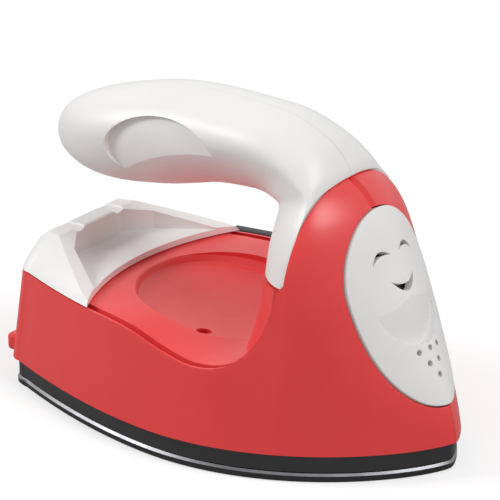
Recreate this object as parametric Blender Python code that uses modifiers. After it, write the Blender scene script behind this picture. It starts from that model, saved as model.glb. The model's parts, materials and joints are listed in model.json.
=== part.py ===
"""A mini handheld heat press: coated soleplate, insulator band, two red body halves with a hood,
a red deck with a finger dish, a white rear cover, a two-part white handle, an oval front plate,
a slide switch on the left side, and the heater and wiring inside.

Metres. +X runs to the nose, +Y to the object's left, +Z up. The origin is the middle of the
object's box, at the underside of the soleplate.
"""

import math

import bmesh
import bpy
from mathutils import Matrix, Vector

# General clearances and walls
GAP = 0.0003
OVERRUN = 0.004
WALL = 0.0020
HALF = 0.5
ROUND_SIDES = 16
SMALL_SIDES = 12
ARC_SIDES = 96
DIGITS = 8
WELD_REACH = 0.000005

# Soleplate and the plan that everything above it follows
SOLE_LENGTH = 0.1030
SOLE_HALF_WIDTH = 0.0337
HEEL_HALF_WIDTH = 0.0221
WIDEST_SHARE = 0.48
REAR_PLAN_POWER = 1.75
NOSE_PLAN_POWER = 0.75
FRONT_POWER = 1.6
HEEL_STEPS = 3
SIDE_STEPS = 8
HEEL_CORNER = 0.0040
CORNER_LIMIT_SHARE = 0.8
SOLE_THICKNESS = 0.0020
SOLE_EDGE = 0.0005
BED_HEIGHT = 0.0026
BED_MARGIN = 0.0075

# Insulator band
BAND_HEIGHT = 0.0038
BAND_WIDTH = 0.0060
BAND_SETBACK = 0.0003

# Red body
SHELL_OVERHANG = 0.0008
WALL_LEAN_SHARE = 0.195
HEEL_LEAN_SHARE = 0.02
SEAM_HEIGHT = 0.0264
HOOD_HEIGHT = 0.0603
HOOD_LENGTH = 0.0289
ARCH_START = 0.0420
ARCH_POWER = 2.4
CROWN_SHARE = 0.997
HOOD_BLEND_START_SHARE = 0.04
HOOD_BLEND_END_SHARE = 0.62
HALF_SEAM = 0.0003
PEG_REACH = 0.0027
PEG_WIDTH = 0.0040
PEG_HEIGHT = 0.0040
PEG_RISE = 0.0004
PEG_ROUND = 0.0008
PEG_SPREAD = 0.0196
LEDGE_WIDTH = 0.0006
GROOVE_WIDTH = 0.0020
GROOVE_DEPTH = 0.0011
GROOVE_STEPS = 5

# Hood front, as shares of the hood's height and of its reach past HOOD_REAR
HOOD_FRONT_SHARES = (
    (0.0, 1.0),
    (0.06, 0.98),
    (0.17, 0.92),
    (0.34, 0.775),
    (0.52, 0.613),
    (0.70, 0.452),
    (0.86, 0.306),
    (0.94, 0.185),
    (0.98, 0.085),
    (1.0, 0.02),
)
FORM_LEVEL_SHARES = (
    0.0, 0.06, 0.17, 0.26, 0.34, 0.43, 0.52, 0.61, 0.70, 0.78, 0.86, 0.91, 0.95, 0.98, 0.995,
)
FRONT_STATION_SHARES = (0.12, 0.25, 0.38, 0.51, 0.63, 0.74, 0.84, 0.92, 0.975, 1.0)

# Body edge line seen from the side: shares of HOOD_REAR and of SEAM_HEIGHT
EDGE_SHARES = (
    (0.35, 1.0),
    (0.46, 0.998),
    (0.55, 0.977),
    (0.65, 0.915),
    (0.738, 0.862),
    (0.79, 0.853),
    (0.835, 0.868),
    (0.877, 0.91),
    (0.917, 1.0),
    (0.948, 1.115),
    (0.968, 1.25),
    (0.98, 1.38),
    (0.987, 1.54),
)

CURVE_STEPS = 2

# Deck, finger dish and the foot of the neck
DECK_THICKNESS = 0.0022
DECK_REAR = 0.0150
DISH_CENTRE = 0.0430
DISH_LENGTH = 0.0410
DISH_WIDTH = 0.0390
DISH_TILT = math.radians(5.5)
DISH_STEP = 0.0020
DISH_DEPTH = 0.0046
DISH_WALL = 0.0016
DISH_RING_SHARES = ((1.0, 0.0), (0.985, 0.07), (0.955, 1.0))
DISH_FLOOR_SHARES = ((0.92, 0.12), (0.74, 0.45), (0.48, 0.80), (0.22, 0.97))
DISH_SIDES = 36
NECK_SIDES = 16
NECK_LEVELS = 6
NECK_DEPTH = 0.0130
NECK_FLARE = 0.0060
NECK_HOLLOW = 0.0086
NECK_SEAM = 0.0406
NECK_FOOT = 0.0190
WELL_STATION = 0.0471
WELL_SPREAD = 0.0132
WELL_HOLE_RADIUS = 0.0017
WELL_RADIUS = 0.0031
WELL_FLOOR = 0.0015

# Rear cover: a hipped cap with a notch in its top that opens to the deck
COVER_TIP = 0.0262
COVER_ARC_RADIUS = 0.0570
COVER_WALL = 0.0015
COVER_FLOOR = 0.0014
HOLLOW_MARGIN = 0.0070
COVER_KERB = 0.0008
COVER_HIP_SHARE = 1.22
COVER_HEEL_LEAN_SHARE = 0.09
COVER_ROUND = 0.0009
COVER_LEVELS = 6
COVER_CREASE = math.radians(24)
COVER_HEIGHT = 0.0073
# Side view of the cap: how far in from the heel and height, as shares of COVER_TIP and COVER_HEIGHT
COVER_PROFILE_SHARES = (
    (-0.115, 0.63),
    (0.011, 0.71),
    (0.099, 0.973),
    (0.252, 1.0),
    (1.038, 0.082),
)
NOTCH_REAR = 0.0072
NOTCH_REAR_HALF_WIDTH = 0.0078
NOTCH_MIDDLE = 0.0115
NOTCH_MIDDLE_HALF_WIDTH = 0.0140
NOTCH_FRONT_HALF_WIDTH = 0.0262
SADDLE_SPREAD = 0.0068
SADDLE_RADIUS = 0.0022
SADDLE_RISE = 0.0086
TAB_SPREAD = 0.0110
TAB_WIDTH = 0.0060
TAB_THICKNESS = 0.0012
TAB_DEPTH = 0.0040

# Handle: lower and upper lines of the side view as shares of HOOD_REAR and HANDLE_HEIGHT,
# half-width share of HANDLE_HALF_WIDTH and the share of the height at which it is widest
HANDLE_RISE = 0.0113
HANDLE_HALF_WIDTH = 0.0132
HANDLE_WALL = 0.0024
HANDLE_STATION_SHARES = (
    (0.818, 0.570, 1.0135, 0.570, 1.620, 1.0),
    (0.818, 0.636, 1.016, 0.656, 1.490, 1.0),
    (0.823, 0.691, 1.020, 0.740, 1.290, 0.97),
    (0.817, 0.726, 1.026, 0.817, 1.030, 0.85),
    (0.776, 0.731, 1.012, 0.873, 0.955, 0.75),
    (0.715, 0.727, 0.951, 0.933, 0.909, 0.70),
    (0.641, 0.721, 0.823, 0.986, 0.909, 0.66),
    (0.567, 0.712, 0.661, 0.9986, 0.932, 0.62),
    (0.486, 0.690, 0.513, 1.000, 0.970, 0.60),
    (0.391, 0.667, 0.371, 0.986, 1.000, 0.58),
    (0.259, 0.653, 0.216, 0.948, 0.985, 0.55),
    (0.144, 0.655, 0.108, 0.911, 0.850, 0.52),
    (0.047, 0.684, 0.027, 0.866, 0.590, 0.50),
    (0.003, 0.721, -0.008, 0.823, 0.330, 0.50),
)
HANDLE_END_SHARES = (-0.0215, 0.770)
GRIP_POWER = 2.15
GRIP_STEPS = 14
TIP_SHARE = 0.75
NECK_WIDEST_SHARE = 0.95
INNER_STEPS = 8
DENT_STATION = 0.0341
DENT_HEIGHT = 0.0596
DENT_HALF_LENGTH = 0.0142
DENT_HALF_HEIGHT = 0.0077
DENT_TILT = math.radians(-6)
DENT_DEPTH = 0.0013
DENT_CORE_LENGTH = 0.0600
DENT_CORE_HEIGHT = 0.0140
DENT_SIDES = 30
LIP_WIDTH = 0.0015
LIP_REACH = 0.0030

# How round the handle's lower side is along its lower line
UNDER_POWER_SHARES = ((0.25, 2.05), (0.45, 1.6), (0.70, 1.5), (0.82, 2.0))

# Front plate on the hood: the plate's own frame is tilted back from upright
PLATE_SINK = 0.00097
PLATE_CENTRE_HEIGHT = 0.0339
PLATE_TILT = math.radians(25.9)
PLATE_TOP = 0.0160
PLATE_BOTTOM = 0.0280
PLATE_HALF_WIDTH = 0.0140
PLATE_WIDEST = 0.0065
PLATE_PROUD = 0.0004
PLATE_THICKNESS = 0.0020
PLATE_DEPTH = 0.0180
WINDOW_DEPTH = 0.0075
PLATE_SIDES = 40
EYE_SPREAD = 0.0043
EYE_HEIGHT = 0.0120
EYE_HALF_WIDTH = 0.0028
EYE_RISE = 0.0019
EYE_SLOT = 0.0010
EYE_TILT = math.radians(10)
MOUTH_HEIGHT = 0.0072
MOUTH_HALF_WIDTH = 0.0040
MOUTH_DROP = 0.0032
MOUTH_SLOT = 0.0017
VENT_RADIUS = 0.00065
VENT_PITCH = 0.0033
VENT_ROW_PITCH = 0.0030
VENT_TOP = 0.0089
CRESCENT_STEPS = 8
VENT_ROWS = (3, 2, 1)
VENT_SIDES = 10

# Scoop in the plate: an oval outline, and a floor that falls away below the mouth
SCOOP_CENTRE = 0.0040
SCOOP_HALF_LENGTH = 0.0117
SCOOP_HALF_WIDTH = 0.0100
SCOOP_CREST = 0.0020
SCOOP_CREST_RISE = 0.0011
SCOOP_SLOPE = math.radians(11)
SCOOP_LONG_RADIUS = 0.0880
SCOOP_CROSS_RADIUS = 0.0190
SCOOP_RING_SHARES = (0.2, 0.45, 0.7, 0.88, 1.0)
SCOOP_SIDES = 32
SCOOP_WALL = 0.0015

# Lamps behind the plate
DIFFUSER_THICKNESS = 0.0012
DIFFUSER_TOP = 0.0170
DIFFUSER_BOTTOM = 0.0010
DIFFUSER_HALF_WIDTH = 0.0095
DIFFUSER_SIDES = 20
BOARD_DEPTH = 0.0105
BOARD_LENGTH = 0.0120
BOARD_HALF_WIDTH = 0.0070
BOARD_THICKNESS = 0.0012
LAMP_RADIUS = 0.0015
LAMP_LENGTH = 0.0034
LAMP_TIP_SHARE = 0.7
RAIL_HEIGHT = 0.0040

# Heater stack on the bed
HEATER_START = 0.0140
HEATER_LENGTH = 0.0440
HEATER_HALF_WIDTH = 0.0092
HEATER_THICKNESS = 0.0012
PRESSURE_THICKNESS = 0.0010
PRESSURE_MARGIN = 0.0008
INSULATION_THICKNESS = 0.0014
INSULATION_MARGIN = 0.0060
BOSS_RADIUS = 0.0024
BOSS_HEIGHT = 0.0044

# Thermostat and fuse at the front of the bed
THERMOSTAT_STATION = 0.0830
THERMOSTAT_CAP_RADIUS = 0.0058
THERMOSTAT_CAP_HEIGHT = 0.0022
THERMOSTAT_BODY_RADIUS = 0.0048
THERMOSTAT_BODY_HEIGHT = 0.0042
BRACKET_HALF_LENGTH = 0.0118
BRACKET_WIDTH = 0.0060
BRACKET_THICKNESS = 0.0006
BRACKET_RING = 0.0012
BRACKET_SCREW_SPREAD = 0.0092
FUSE_STATION = 0.0690
FUSE_RADIUS = 0.0020
FUSE_HALF_LENGTH = 0.0055
CLIP_THICKNESS = 0.0006
CLIP_HALF_WIDTH = 0.0022
CLIP_FOOT = 0.0024

# Cord gland, clamp and terminals in the heel
GLAND_HEIGHT = 0.0190
GLAND_NECK_RADIUS = 0.0040
GLAND_FLANGE_RADIUS = 0.0056
GLAND_FLANGE = 0.0016
GLAND_BORE_RADIUS = 0.0025
GLAND_REACH = 0.0030
SHELF_HEIGHT = 0.0108
SHELF_THICKNESS = 0.0015
SHELF_LENGTH = 0.0210
SHELF_HALF_WIDTH = 0.0160
CLAMP_STATION = 0.0078
CLAMP_HALF_LENGTH = 0.0070
CLAMP_WIDTH = 0.0040
CLAMP_HEIGHT = 0.0022
CLAMP_SCREW_SPREAD = 0.0048
TERMINAL_STATION = 0.0155
TERMINAL_HALF_LENGTH = 0.0085
TERMINAL_WIDTH = 0.0070
TERMINAL_HEIGHT = 0.0060

# Slide switch on the left side
SWITCH_STATION = 0.0320
SWITCH_TRAVEL = 0.0040
BUTTON_LENGTH = 0.0130
BUTTON_HEIGHT = 0.0056
BUTTON_PROUD = 0.0025
BUTTON_TOP = 0.0266
BUTTON_RIBS = 3
BUTTON_RIB = 0.0010
BUTTON_RIB_PITCH = 0.0030
STEM_HEIGHT = 0.0012
STEM_WIDTH = 0.0024
STEM_LEVEL = 0.0222
SLOT_CLEARANCE = 0.0004
CASE_LENGTH = 0.0120
CASE_DEPTH = 0.0052
CASE_HEIGHT = 0.0052
CASE_WALL = 0.0005
CASE_SETBACK = 0.0004
CASE_DROP = 0.0040

# Screws that hold the halves, all put in from the left side: station as a share of HOOD_REAR,
# height as a share of SEAM_HEIGHT on the body and of HANDLE_HEIGHT on the handle
BODY_SCREW_SHARES = ((0.20, 0.777), (0.83, 0.561), (1.215, 0.5))
HANDLE_SCREW_SHARES = ((0.085, 0.775), (0.640, 0.860), (0.900, 0.745))
SCREW_RADIUS = 0.0008
SCREW_HEAD_RADIUS = 0.0015
SCREW_HEAD_HEIGHT = 0.0012
SCREW_CROWN_SHARE = 0.7
SCREW_RIM_SHARE = 0.55
SCREW_CLEARANCE = 0.0002
POST_RADIUS = 0.0026
SCREW_GRIP = 0.0050
SHORT_SCREW = 0.0034

# Lead wires, as (distance from the heel, y, z) points of their centre lines
WIRE_RADIUS = 0.0007
WIRE_STEPS = 3
WIRE_ROUTES = {
    "lead_fuse": (
        (0.0193, -0.0055, 0.0132),
        (0.0260, -0.0072, 0.0120),
        (0.0420, -0.0072, 0.0106),
        (0.0600, -0.0068, 0.0104),
        (0.0660, -0.0076, 0.0088),
        (0.0690, -0.0074, 0.0070),
        (0.0690, -0.0062, 0.0069),
    ),
    "lead_link": (
        (0.0690, 0.0062, 0.0069),
        (0.0695, 0.0074, 0.0073),
        (0.0730, 0.0085, 0.0098),
        (0.0775, 0.0064, 0.0130),
        (0.0810, 0.0030, 0.0136),
        (0.0820, 0.0022, 0.0124),
    ),
    "lead_heater_front": (
        (0.0840, -0.0022, 0.0124),
        (0.0828, -0.0034, 0.0136),
        (0.0780, -0.0066, 0.0126),
        (0.0720, -0.0096, 0.0098),
        (0.0620, -0.0106, 0.0084),
        (0.0560, -0.0100, 0.0075),
        (0.0540, -0.0098, 0.0073),
    ),
    "lead_heater_rear": (
        (0.0198, 0.0055, 0.0130),
        (0.0225, 0.0078, 0.0120),
        (0.0265, 0.0096, 0.0090),
        (0.0320, 0.0098, 0.0073),
    ),
    "lead_lamp_right": (
        (0.0193, -0.0015, 0.0156),
        (0.0250, -0.0015, 0.0142),
        (0.0430, -0.0015, 0.0128),
        (0.0580, -0.0015, 0.0110),
        (0.0660, -0.0016, 0.0113),
        (0.0705, -0.0018, 0.0155),
        (0.0745, -0.0022, 0.0205),
        (0.0772, -0.0028, 0.0255),
        (0.0786, -0.0030, 0.0292),
    ),
    "lead_lamp_left": (
        (0.0193, 0.0015, 0.0156),
        (0.0250, 0.0015, 0.0142),
        (0.0430, 0.0015, 0.0128),
        (0.0580, 0.0015, 0.0110),
        (0.0660, 0.0016, 0.0113),
        (0.0705, 0.0018, 0.0155),
        (0.0745, 0.0022, 0.0205),
        (0.0772, 0.0028, 0.0255),
        (0.0786, 0.0030, 0.0292),
    ),
    "lead_switch_low": (
        (0.0170, 0.0094, 0.0130),
        (0.0190, 0.0110, 0.0142),
        (0.0240, 0.0150, 0.0178),
        (0.0280, 0.0176, 0.0200),
        (0.0300, 0.0186, 0.0204),
    ),
    "lead_switch_high": (
        (0.0150, 0.0094, 0.0155),
        (0.0168, 0.0112, 0.0170),
        (0.0225, 0.0155, 0.0205),
        (0.0255, 0.0172, 0.0212),
        (0.0270, 0.0180, 0.0212),
    ),
}
WIRE_COLOURS = ((0.55, 0.05, 0.04), (0.05, 0.05, 0.06), (0.75, 0.74, 0.70), (0.03, 0.10, 0.35))

# Worked out from the sizes above
TOTAL_LENGTH = SOLE_LENGTH + SHELL_OVERHANG + PEG_REACH
REAR_X = -TOTAL_LENGTH * HALF
HEEL_X = REAR_X + PEG_REACH
NOSE_X = HEEL_X + SOLE_LENGTH
WIDEST_X = HEEL_X + SOLE_LENGTH * WIDEST_SHARE
HOOD_REAR = SOLE_LENGTH - HOOD_LENGTH
HOOD_X = HEEL_X + HOOD_REAR
BED_TOP = SOLE_THICKNESS + BED_HEIGHT
BAND_LOW = SOLE_THICKNESS + GAP
SHELL_LOW = BAND_LOW + BAND_HEIGHT + GAP
HOOD_RISE = HOOD_HEIGHT - SHELL_LOW
HANDLE_HEIGHT = HOOD_HEIGHT + HANDLE_RISE
HOOD_REACH = NOSE_X + SHELL_OVERHANG - HOOD_X
SIDE_REACH = SOLE_HALF_WIDTH + SHELL_OVERHANG + OVERRUN

PARTS_NAME = "mini_heat_press"
HELPERS_NAME = "helpers"


def clear_scene():
    for item in list(bpy.data.objects):
        bpy.data.objects.remove(item, do_unlink=True)
    for name in (PARTS_NAME, HELPERS_NAME):
        group = bpy.data.collections.new(name)
        bpy.context.scene.collection.children.link(group)


def finish(name, colour, roughness, metallic=0.0):
    """A plain material for one piece."""
    made = bpy.data.materials.new(name)
    made.use_nodes = True
    shader = made.node_tree.nodes["Principled BSDF"]
    shader.inputs["Base Color"].default_value = (*colour, 1.0)
    shader.inputs["Roughness"].default_value = roughness
    shader.inputs["Metallic"].default_value = metallic
    made.diffuse_color = (*colour, 1.0)
    return made


RED = (0.80, 0.12, 0.11)
WHITE = (0.86, 0.86, 0.84)
BLACK = (0.02, 0.02, 0.022)
SLATE = (0.05, 0.06, 0.065)
STEEL = (0.55, 0.55, 0.56)


def add_object(name, mesh, helper=False):
    made = bpy.data.objects.new(name, mesh)
    bpy.data.collections[HELPERS_NAME if helper else PARTS_NAME].objects.link(made)
    if helper:
        made.hide_render = True
        made.display_type = "WIRE"
    return made


def mesh_from(shape, name):
    """A mesh from a bmesh, with its faces turned outwards."""
    bmesh.ops.recalc_face_normals(shape, faces=shape.faces)
    mesh = bpy.data.meshes.new(name)
    shape.to_mesh(mesh)
    shape.free()
    return mesh


def loft(rings, name):
    """A closed solid through rings of equal point counts, with flat ends."""
    shape = bmesh.new()
    loops = [[shape.verts.new([round(c, DIGITS) for c in p]) for p in ring] for ring in rings]
    for low, high in zip(loops, loops[1:]):
        for i, vertex in enumerate(low):
            before = i - 1
            shape.faces.new((low[before], vertex, high[i], high[before]))
    shape.faces.new(loops[0])
    shape.faces.new(loops[-1])
    bmesh.ops.triangulate(shape, faces=shape.faces)
    return mesh_from(shape, name)


def prism(outline, start, along, name):
    """A solid with the given outline, a list of points, moved from start by along."""
    shape = bmesh.new()
    base = shape.faces.new([shape.verts.new(Vector(point) + Vector(start)) for point in outline])
    moved = bmesh.ops.extrude_face_region(shape, geom=[base])["geom"]
    bmesh.ops.translate(
        shape, verts=[v for v in moved if isinstance(v, bmesh.types.BMVert)], vec=Vector(along)
    )
    return mesh_from(shape, name)


def add_box(shape, low, high, turn=None):
    """Adds a box between two corners to a bmesh, turned in its own frame by a matrix."""
    size = Vector(high) - Vector(low)
    centre = (Vector(high) + Vector(low)) * HALF
    place = (turn or Matrix()) @ Matrix.Translation(centre) @ Matrix.Diagonal((*size, 1.0))
    bmesh.ops.create_cube(shape, size=1.0, matrix=place)


def add_cylinder(shape, start, end, radius, sides=ROUND_SIDES, end_radius=None):
    """Adds a round bar from start to end to a bmesh."""
    start, end = Vector(start), Vector(end)
    span = end - start
    turn = span.to_track_quat("Z", "Y").to_matrix().to_4x4()
    bmesh.ops.create_cone(
        shape,
        cap_ends=True,
        segments=sides,
        radius1=radius,
        radius2=radius if end_radius is None else end_radius,
        depth=span.length,
        matrix=Matrix.Translation((start + end) * HALF) @ turn,
    )


def boxes(name, corners, turn=None):
    shape = bmesh.new()
    for low, high in corners:
        add_box(shape, low, high, turn)
    return mesh_from(shape, name)


def bars(name, places, sides=ROUND_SIDES):
    shape = bmesh.new()
    for start, end, radius in places:
        add_cylinder(shape, start, end, radius, sides)
    return mesh_from(shape, name)


def combine(target, other, operation):
    step = target.modifiers.new(f"{operation.lower()} {other.name}", "BOOLEAN")
    step.operation = operation
    step.object = other
    step.solver = "EXACT"
    weld = target.modifiers.new(f"weld after {other.name}", "WELD")
    weld.merge_threshold = WELD_REACH


def place(mesh, frame):
    """Moves a mesh into a frame and keeps its faces turned outwards."""
    mesh.transform(frame)
    if frame.determinant() < 0:
        mesh.flip_normals()
    return mesh


def helper(name, mesh):
    return add_object(name, mesh, helper=True)


def soften(target, width, segments=2, angle=math.radians(40)):
    step = target.modifiers.new("rounded edges", "BEVEL")
    step.width = width
    step.segments = segments
    step.limit_method = "ANGLE"
    step.angle_limit = angle
    target.modifiers.new("flat faces", "TRIANGULATE")


def part(name, mesh, material):
    made = add_object(name, mesh)
    made.data.materials.append(material)
    made.data.shade_smooth()
    made.data.set_sharp_from_angle(angle=math.radians(35))
    return made


def between(low, high, share):
    return low + (high - low) * share


def eased(share):
    share = min(max(share, 0.0), 1.0)
    return share * share * (3 - 2 * share)


def read_line(line, value):
    """Straight-line reading of a table of (value, result) pairs."""
    for (low, first), (high, second) in zip(line, line[1:]):
        if value <= high:
            share = (value - low) / (high - low)
            return between(first, second, min(max(share, 0.0), 1.0))
    return line[-1][1]


def smooth_route(points, steps):
    """Points along a smooth curve through the given ones."""
    route = []
    for i in range(len(points) - 1):
        before = points[max(i - 1, 0)]
        start, end = points[i], points[i + 1]
        after = points[min(i + 2, len(points) - 1)]
        for step in range(steps):
            t = step / steps
            first = (end - before) * t
            second = (before * 2 - start * 5 + end * 4 - after) * t * t
            third = (start * 3 - before - end * 3 + after) * t**3
            route.append((start * 2 + first + second + third) * HALF)
    route.append(points[-1])
    return route


# The plan and the hood's form


def plan_half_width(x):
    """Half-width of the soleplate at a station."""
    if x < WIDEST_X:
        share = (WIDEST_X - x) / (WIDEST_X - HEEL_X)
        return between(SOLE_HALF_WIDTH, HEEL_HALF_WIDTH, share**REAR_PLAN_POWER)
    share = min((x - WIDEST_X) / (NOSE_X - WIDEST_X), 1.0)
    return SOLE_HALF_WIDTH * (1 - share * share) ** NOSE_PLAN_POWER


def arch_share(z):
    """How far the hood's arch has drawn in at a height, 1 where it hasn't."""
    if z <= ARCH_START:
        return 1.0
    share = min((z - ARCH_START) / (HOOD_HEIGHT - ARCH_START), 1.0)
    return (1 - share**ARCH_POWER) ** (1 / ARCH_POWER)


def side_half_width(x, z):
    """Half-width of the body's outer form behind the hood's rear plane."""
    lean = WALL_LEAN_SHARE * (z - SHELL_LOW)
    return (plan_half_width(x) + SHELL_OVERHANG - lean) * arch_share(z)


def hood_front_x(z):
    share = (z - SHELL_LOW) / HOOD_RISE
    return HOOD_X + HOOD_REACH * read_line(HOOD_FRONT_SHARES, share)


def form_half(z, inset):
    """Half of the form's level section at a height, heel to nose, moved in by inset."""
    rise = (z - SEAM_HEIGHT) / (HOOD_HEIGHT - inset - SEAM_HEIGHT)
    z_read = min(max(z + inset * eased(rise), SHELL_LOW), HOOD_HEIGHT * CROWN_SHARE)
    heel = HEEL_X - SHELL_OVERHANG + HEEL_LEAN_SHARE * (z_read - SHELL_LOW) + inset
    corner_x = heel + HEEL_CORNER
    corner_y = max(side_half_width(corner_x, z_read) - inset, GAP)
    corner = min(HEEL_CORNER, corner_y * CORNER_LIMIT_SHARE)
    points = []
    for i in range(HEEL_STEPS + 1):
        angle = math.pi * HALF * i / HEEL_STEPS
        points.append(
            (corner_x - corner * math.cos(angle), corner_y - corner * (1 - math.sin(angle)))
        )
    for i in range(1, SIDE_STEPS + 1):
        x = between(corner_x, HOOD_X, i / SIDE_STEPS)
        points.append((x, max(side_half_width(x, z_read) - inset, GAP)))
    arch = points[-1][1]
    front = max(hood_front_x(z_read) - inset, HOOD_X + GAP)
    start = SHELL_LOW + HOOD_RISE * HOOD_BLEND_START_SHARE
    end = SHELL_LOW + HOOD_RISE * HOOD_BLEND_END_SHARE
    blend = eased((z_read - start) / (end - start))
    for share in FRONT_STATION_SHARES:
        x = between(HOOD_X, front, share)
        low = plan_half_width(between(HOOD_X, NOSE_X, share)) / plan_half_width(HOOD_X)
        high = (1 - share**FRONT_POWER) ** (1 / FRONT_POWER)
        points.append((x, arch * between(low, high, blend)))
    return points


def form_ring(z, inset):
    half = form_half(z, inset)
    right = [(x, -y, z) for x, y in half]
    left = [(x, y, z) for x, y in reversed(half[:-1])]
    return right + left


def form_half_ring(z, inset, side):
    """One side of the form's level section, closed along the parting plane."""
    half = form_half(z, inset)
    inner = HALF_SEAM * HALF
    points = [(x, side * max(y, inner), z) for x, y in half]
    return [(half[0][0], side * inner, z), *points]


def form_mesh(inset, low=None, name="form", side=0):
    """The outer form of body and hood, moved in by inset, down to a height; one side or both."""
    heights = [SHELL_LOW + HOOD_RISE * share for share in FORM_LEVEL_SHARES]
    top = heights[-1] - inset
    heights = [min(z, top) for z in heights]
    while len(heights) > 2 and heights[-2] > top - GAP:
        heights.pop(-2)
    rings = [form_ring(z, inset) if not side else form_half_ring(z, inset, side) for z in heights]
    if low is not None:
        rings.insert(0, [(x, y, low) for x, y, _ in rings[0]])
    return loft(rings, name)


def form(inset, low=None, name="form"):
    return helper(name, form_mesh(inset, low, name))


def edge_line():
    """The body's upper edge from the side, tip of the cover to the hood's rear edge."""
    line = [Vector((HEEL_X + HOOD_REAR * x, SEAM_HEIGHT * z)) for x, z in EDGE_SHARES]
    return [tuple(point) for point in smooth_route(line, CURVE_STEPS)]


def shifted_line(line, distance):
    """A line of (x, z) points moved to its right-hand side by a distance."""
    moved = []
    for i, (x, z) in enumerate(line):
        before = Vector(line[max(i - 1, 0)])
        after = Vector(line[min(i + 1, len(line) - 1)])
        run = (after - before).normalized()
        moved.append((x + run.y * distance, z - run.x * distance))
    return moved


def across(outline, name, half_width=SIDE_REACH):
    """A prism of an (x, z) outline right across the part."""
    points = [(x, 0, z) for x, z in outline]
    return prism(points, (0, -half_width, 0), (0, half_width + half_width, 0), name)


def above_edge(depth=0.0, name="above the edge line"):
    """All that lies behind the hood and above the body's edge line, or a depth below it."""
    line = [(REAR_X - OVERRUN, SEAM_HEIGHT), *edge_line(), (hood_rear_x(ARCH_START), ARCH_START)]
    line.append((hood_rear_x(HOOD_HEIGHT), HOOD_HEIGHT))
    line = shifted_line(line, depth) if depth else line
    high = HANDLE_HEIGHT + OVERRUN
    outline = line + [(line[-1][0], high), (REAR_X - OVERRUN, high)]
    return helper(name, across(outline, name))


def hood_rear_x(z):
    """The hood's rear edge leans forward a little above the arch's start."""
    share = max(z - ARCH_START, 0.0) / (HOOD_HEIGHT - ARCH_START)
    return HOOD_X + GAP + WALL * HALF * share


def deck_slab(top, bottom, rear, name):
    """The band under the edge line between two depths, from a station forwards."""
    line = [(rear, SEAM_HEIGHT)] + edge_line()
    upper = shifted_line(line, top) if top else line
    lower = shifted_line(line, bottom)
    return across(upper + lower[::-1], name)


# Plate frame


def plate_frame():
    """Maps (up the plate, left, out of the plate) to the object's frame."""
    up = Vector((-math.sin(PLATE_TILT), 0, math.cos(PLATE_TILT)))
    out = Vector((math.cos(PLATE_TILT), 0, math.sin(PLATE_TILT)))
    left = Vector((0, 1, 0))
    frame = Matrix((up, left, out)).transposed().to_4x4()
    x = hood_front_x(PLATE_CENTRE_HEIGHT) - PLATE_SINK
    return Matrix.Translation((x, 0, PLATE_CENTRE_HEIGHT)) @ frame


def plate_prism(outline, low, high, name):
    """A prism of an (up, left) outline through the plate between two depths."""
    mesh = prism([(u, v, 0) for u, v in outline], (0, 0, low), (0, 0, high - low), name)
    return helper(name, place(mesh, plate_frame()))


def egg(clearance):
    points = []
    for i in range(PLATE_SIDES):
        angle = math.tau * i / PLATE_SIDES
        rise = PLATE_TOP if math.cos(angle) > 0 else PLATE_BOTTOM
        u = PLATE_WIDEST + (rise + clearance) * math.cos(angle)
        points.append((u, (PLATE_HALF_WIDTH + clearance) * math.sin(angle)))
    return points


def crescent(centre, half_width, outer, inner, tilt):
    """A crescent between two parabolas that meet at its ends, as (up, left) points."""
    shares = [i / CRESCENT_STEPS * 2 - 1 for i in range(CRESCENT_STEPS + 1)]
    upper = [(outer * (1 - s * s), half_width * s) for s in shares]
    lower = [(inner * (1 - s * s), half_width * s) for s in reversed(shares[1:-1])]
    cosine, sine = math.cos(tilt), math.sin(tilt)
    return [
        (centre[0] + u * cosine - v * sine, centre[1] + u * sine + v * cosine)
        for u, v in upper + lower
    ]


# Sub-parts


def make_soleplate():
    base = SHELL_LOW
    inset = SHELL_OVERHANG
    levels = (
        (0.0, SOLE_EDGE),
        (SOLE_EDGE, 0.0),
        (SOLE_THICKNESS - SOLE_EDGE, 0.0),
        (SOLE_THICKNESS, SOLE_EDGE),
    )
    rings = [[(x, y, z) for x, y, _ in form_ring(base, inset + more)] for z, more in levels]
    plate = part("soleplate", loft(rings, "soleplate"), finish("black coat", BLACK, 0.45))
    bed_rings = [
        [(x, y, z) for x, y, _ in form_ring(base, inset + BED_MARGIN)]
        for z in (SOLE_THICKNESS * HALF, BED_TOP)
    ]
    combine(plate, helper("bed", loft(bed_rings, "bed")), "UNION")
    bosses = [
        ((x, y, SOLE_THICKNESS), (x, y, top), BOSS_RADIUS)
        for x, y, top in [*well_screws(), *bracket_screws(), *pressure_bosses()]
    ]
    combine(plate, helper("sole bosses", bars("sole bosses", bosses)), "UNION")
    holes = [
        ((x, y, SOLE_THICKNESS), (x, y, top + OVERRUN), SCREW_RADIUS + SCREW_CLEARANCE * HALF)
        for x, y, top in [*well_screws(), *bracket_screws(), *pressure_bosses()]
    ]
    combine(plate, helper("sole holes", bars("sole holes", holes, SMALL_SIDES)), "DIFFERENCE")
    return plate


def well_screws():
    x = HEEL_X + WELL_STATION
    return [(x, side * WELL_SPREAD, BED_TOP + BOSS_HEIGHT) for side in (-1, 1)]


def bracket_screws():
    x = HEEL_X + THERMOSTAT_STATION
    top = BED_TOP + GAP + THERMOSTAT_CAP_HEIGHT
    return [(x, side * BRACKET_SCREW_SPREAD, top) for side in (-1, 1)]


def heater_ends():
    start = HEEL_X + HEATER_START
    return start, start + HEATER_LENGTH


def pressure_bosses():
    """Short bosses at the heater's ends that the pressure plate's screws go into."""
    start, end = heater_ends()
    top = BED_TOP + GAP + HEATER_THICKNESS
    reach = BOSS_RADIUS + GAP
    return [(start - reach, 0.0, top), (end + reach, 0.0, top)]


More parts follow.
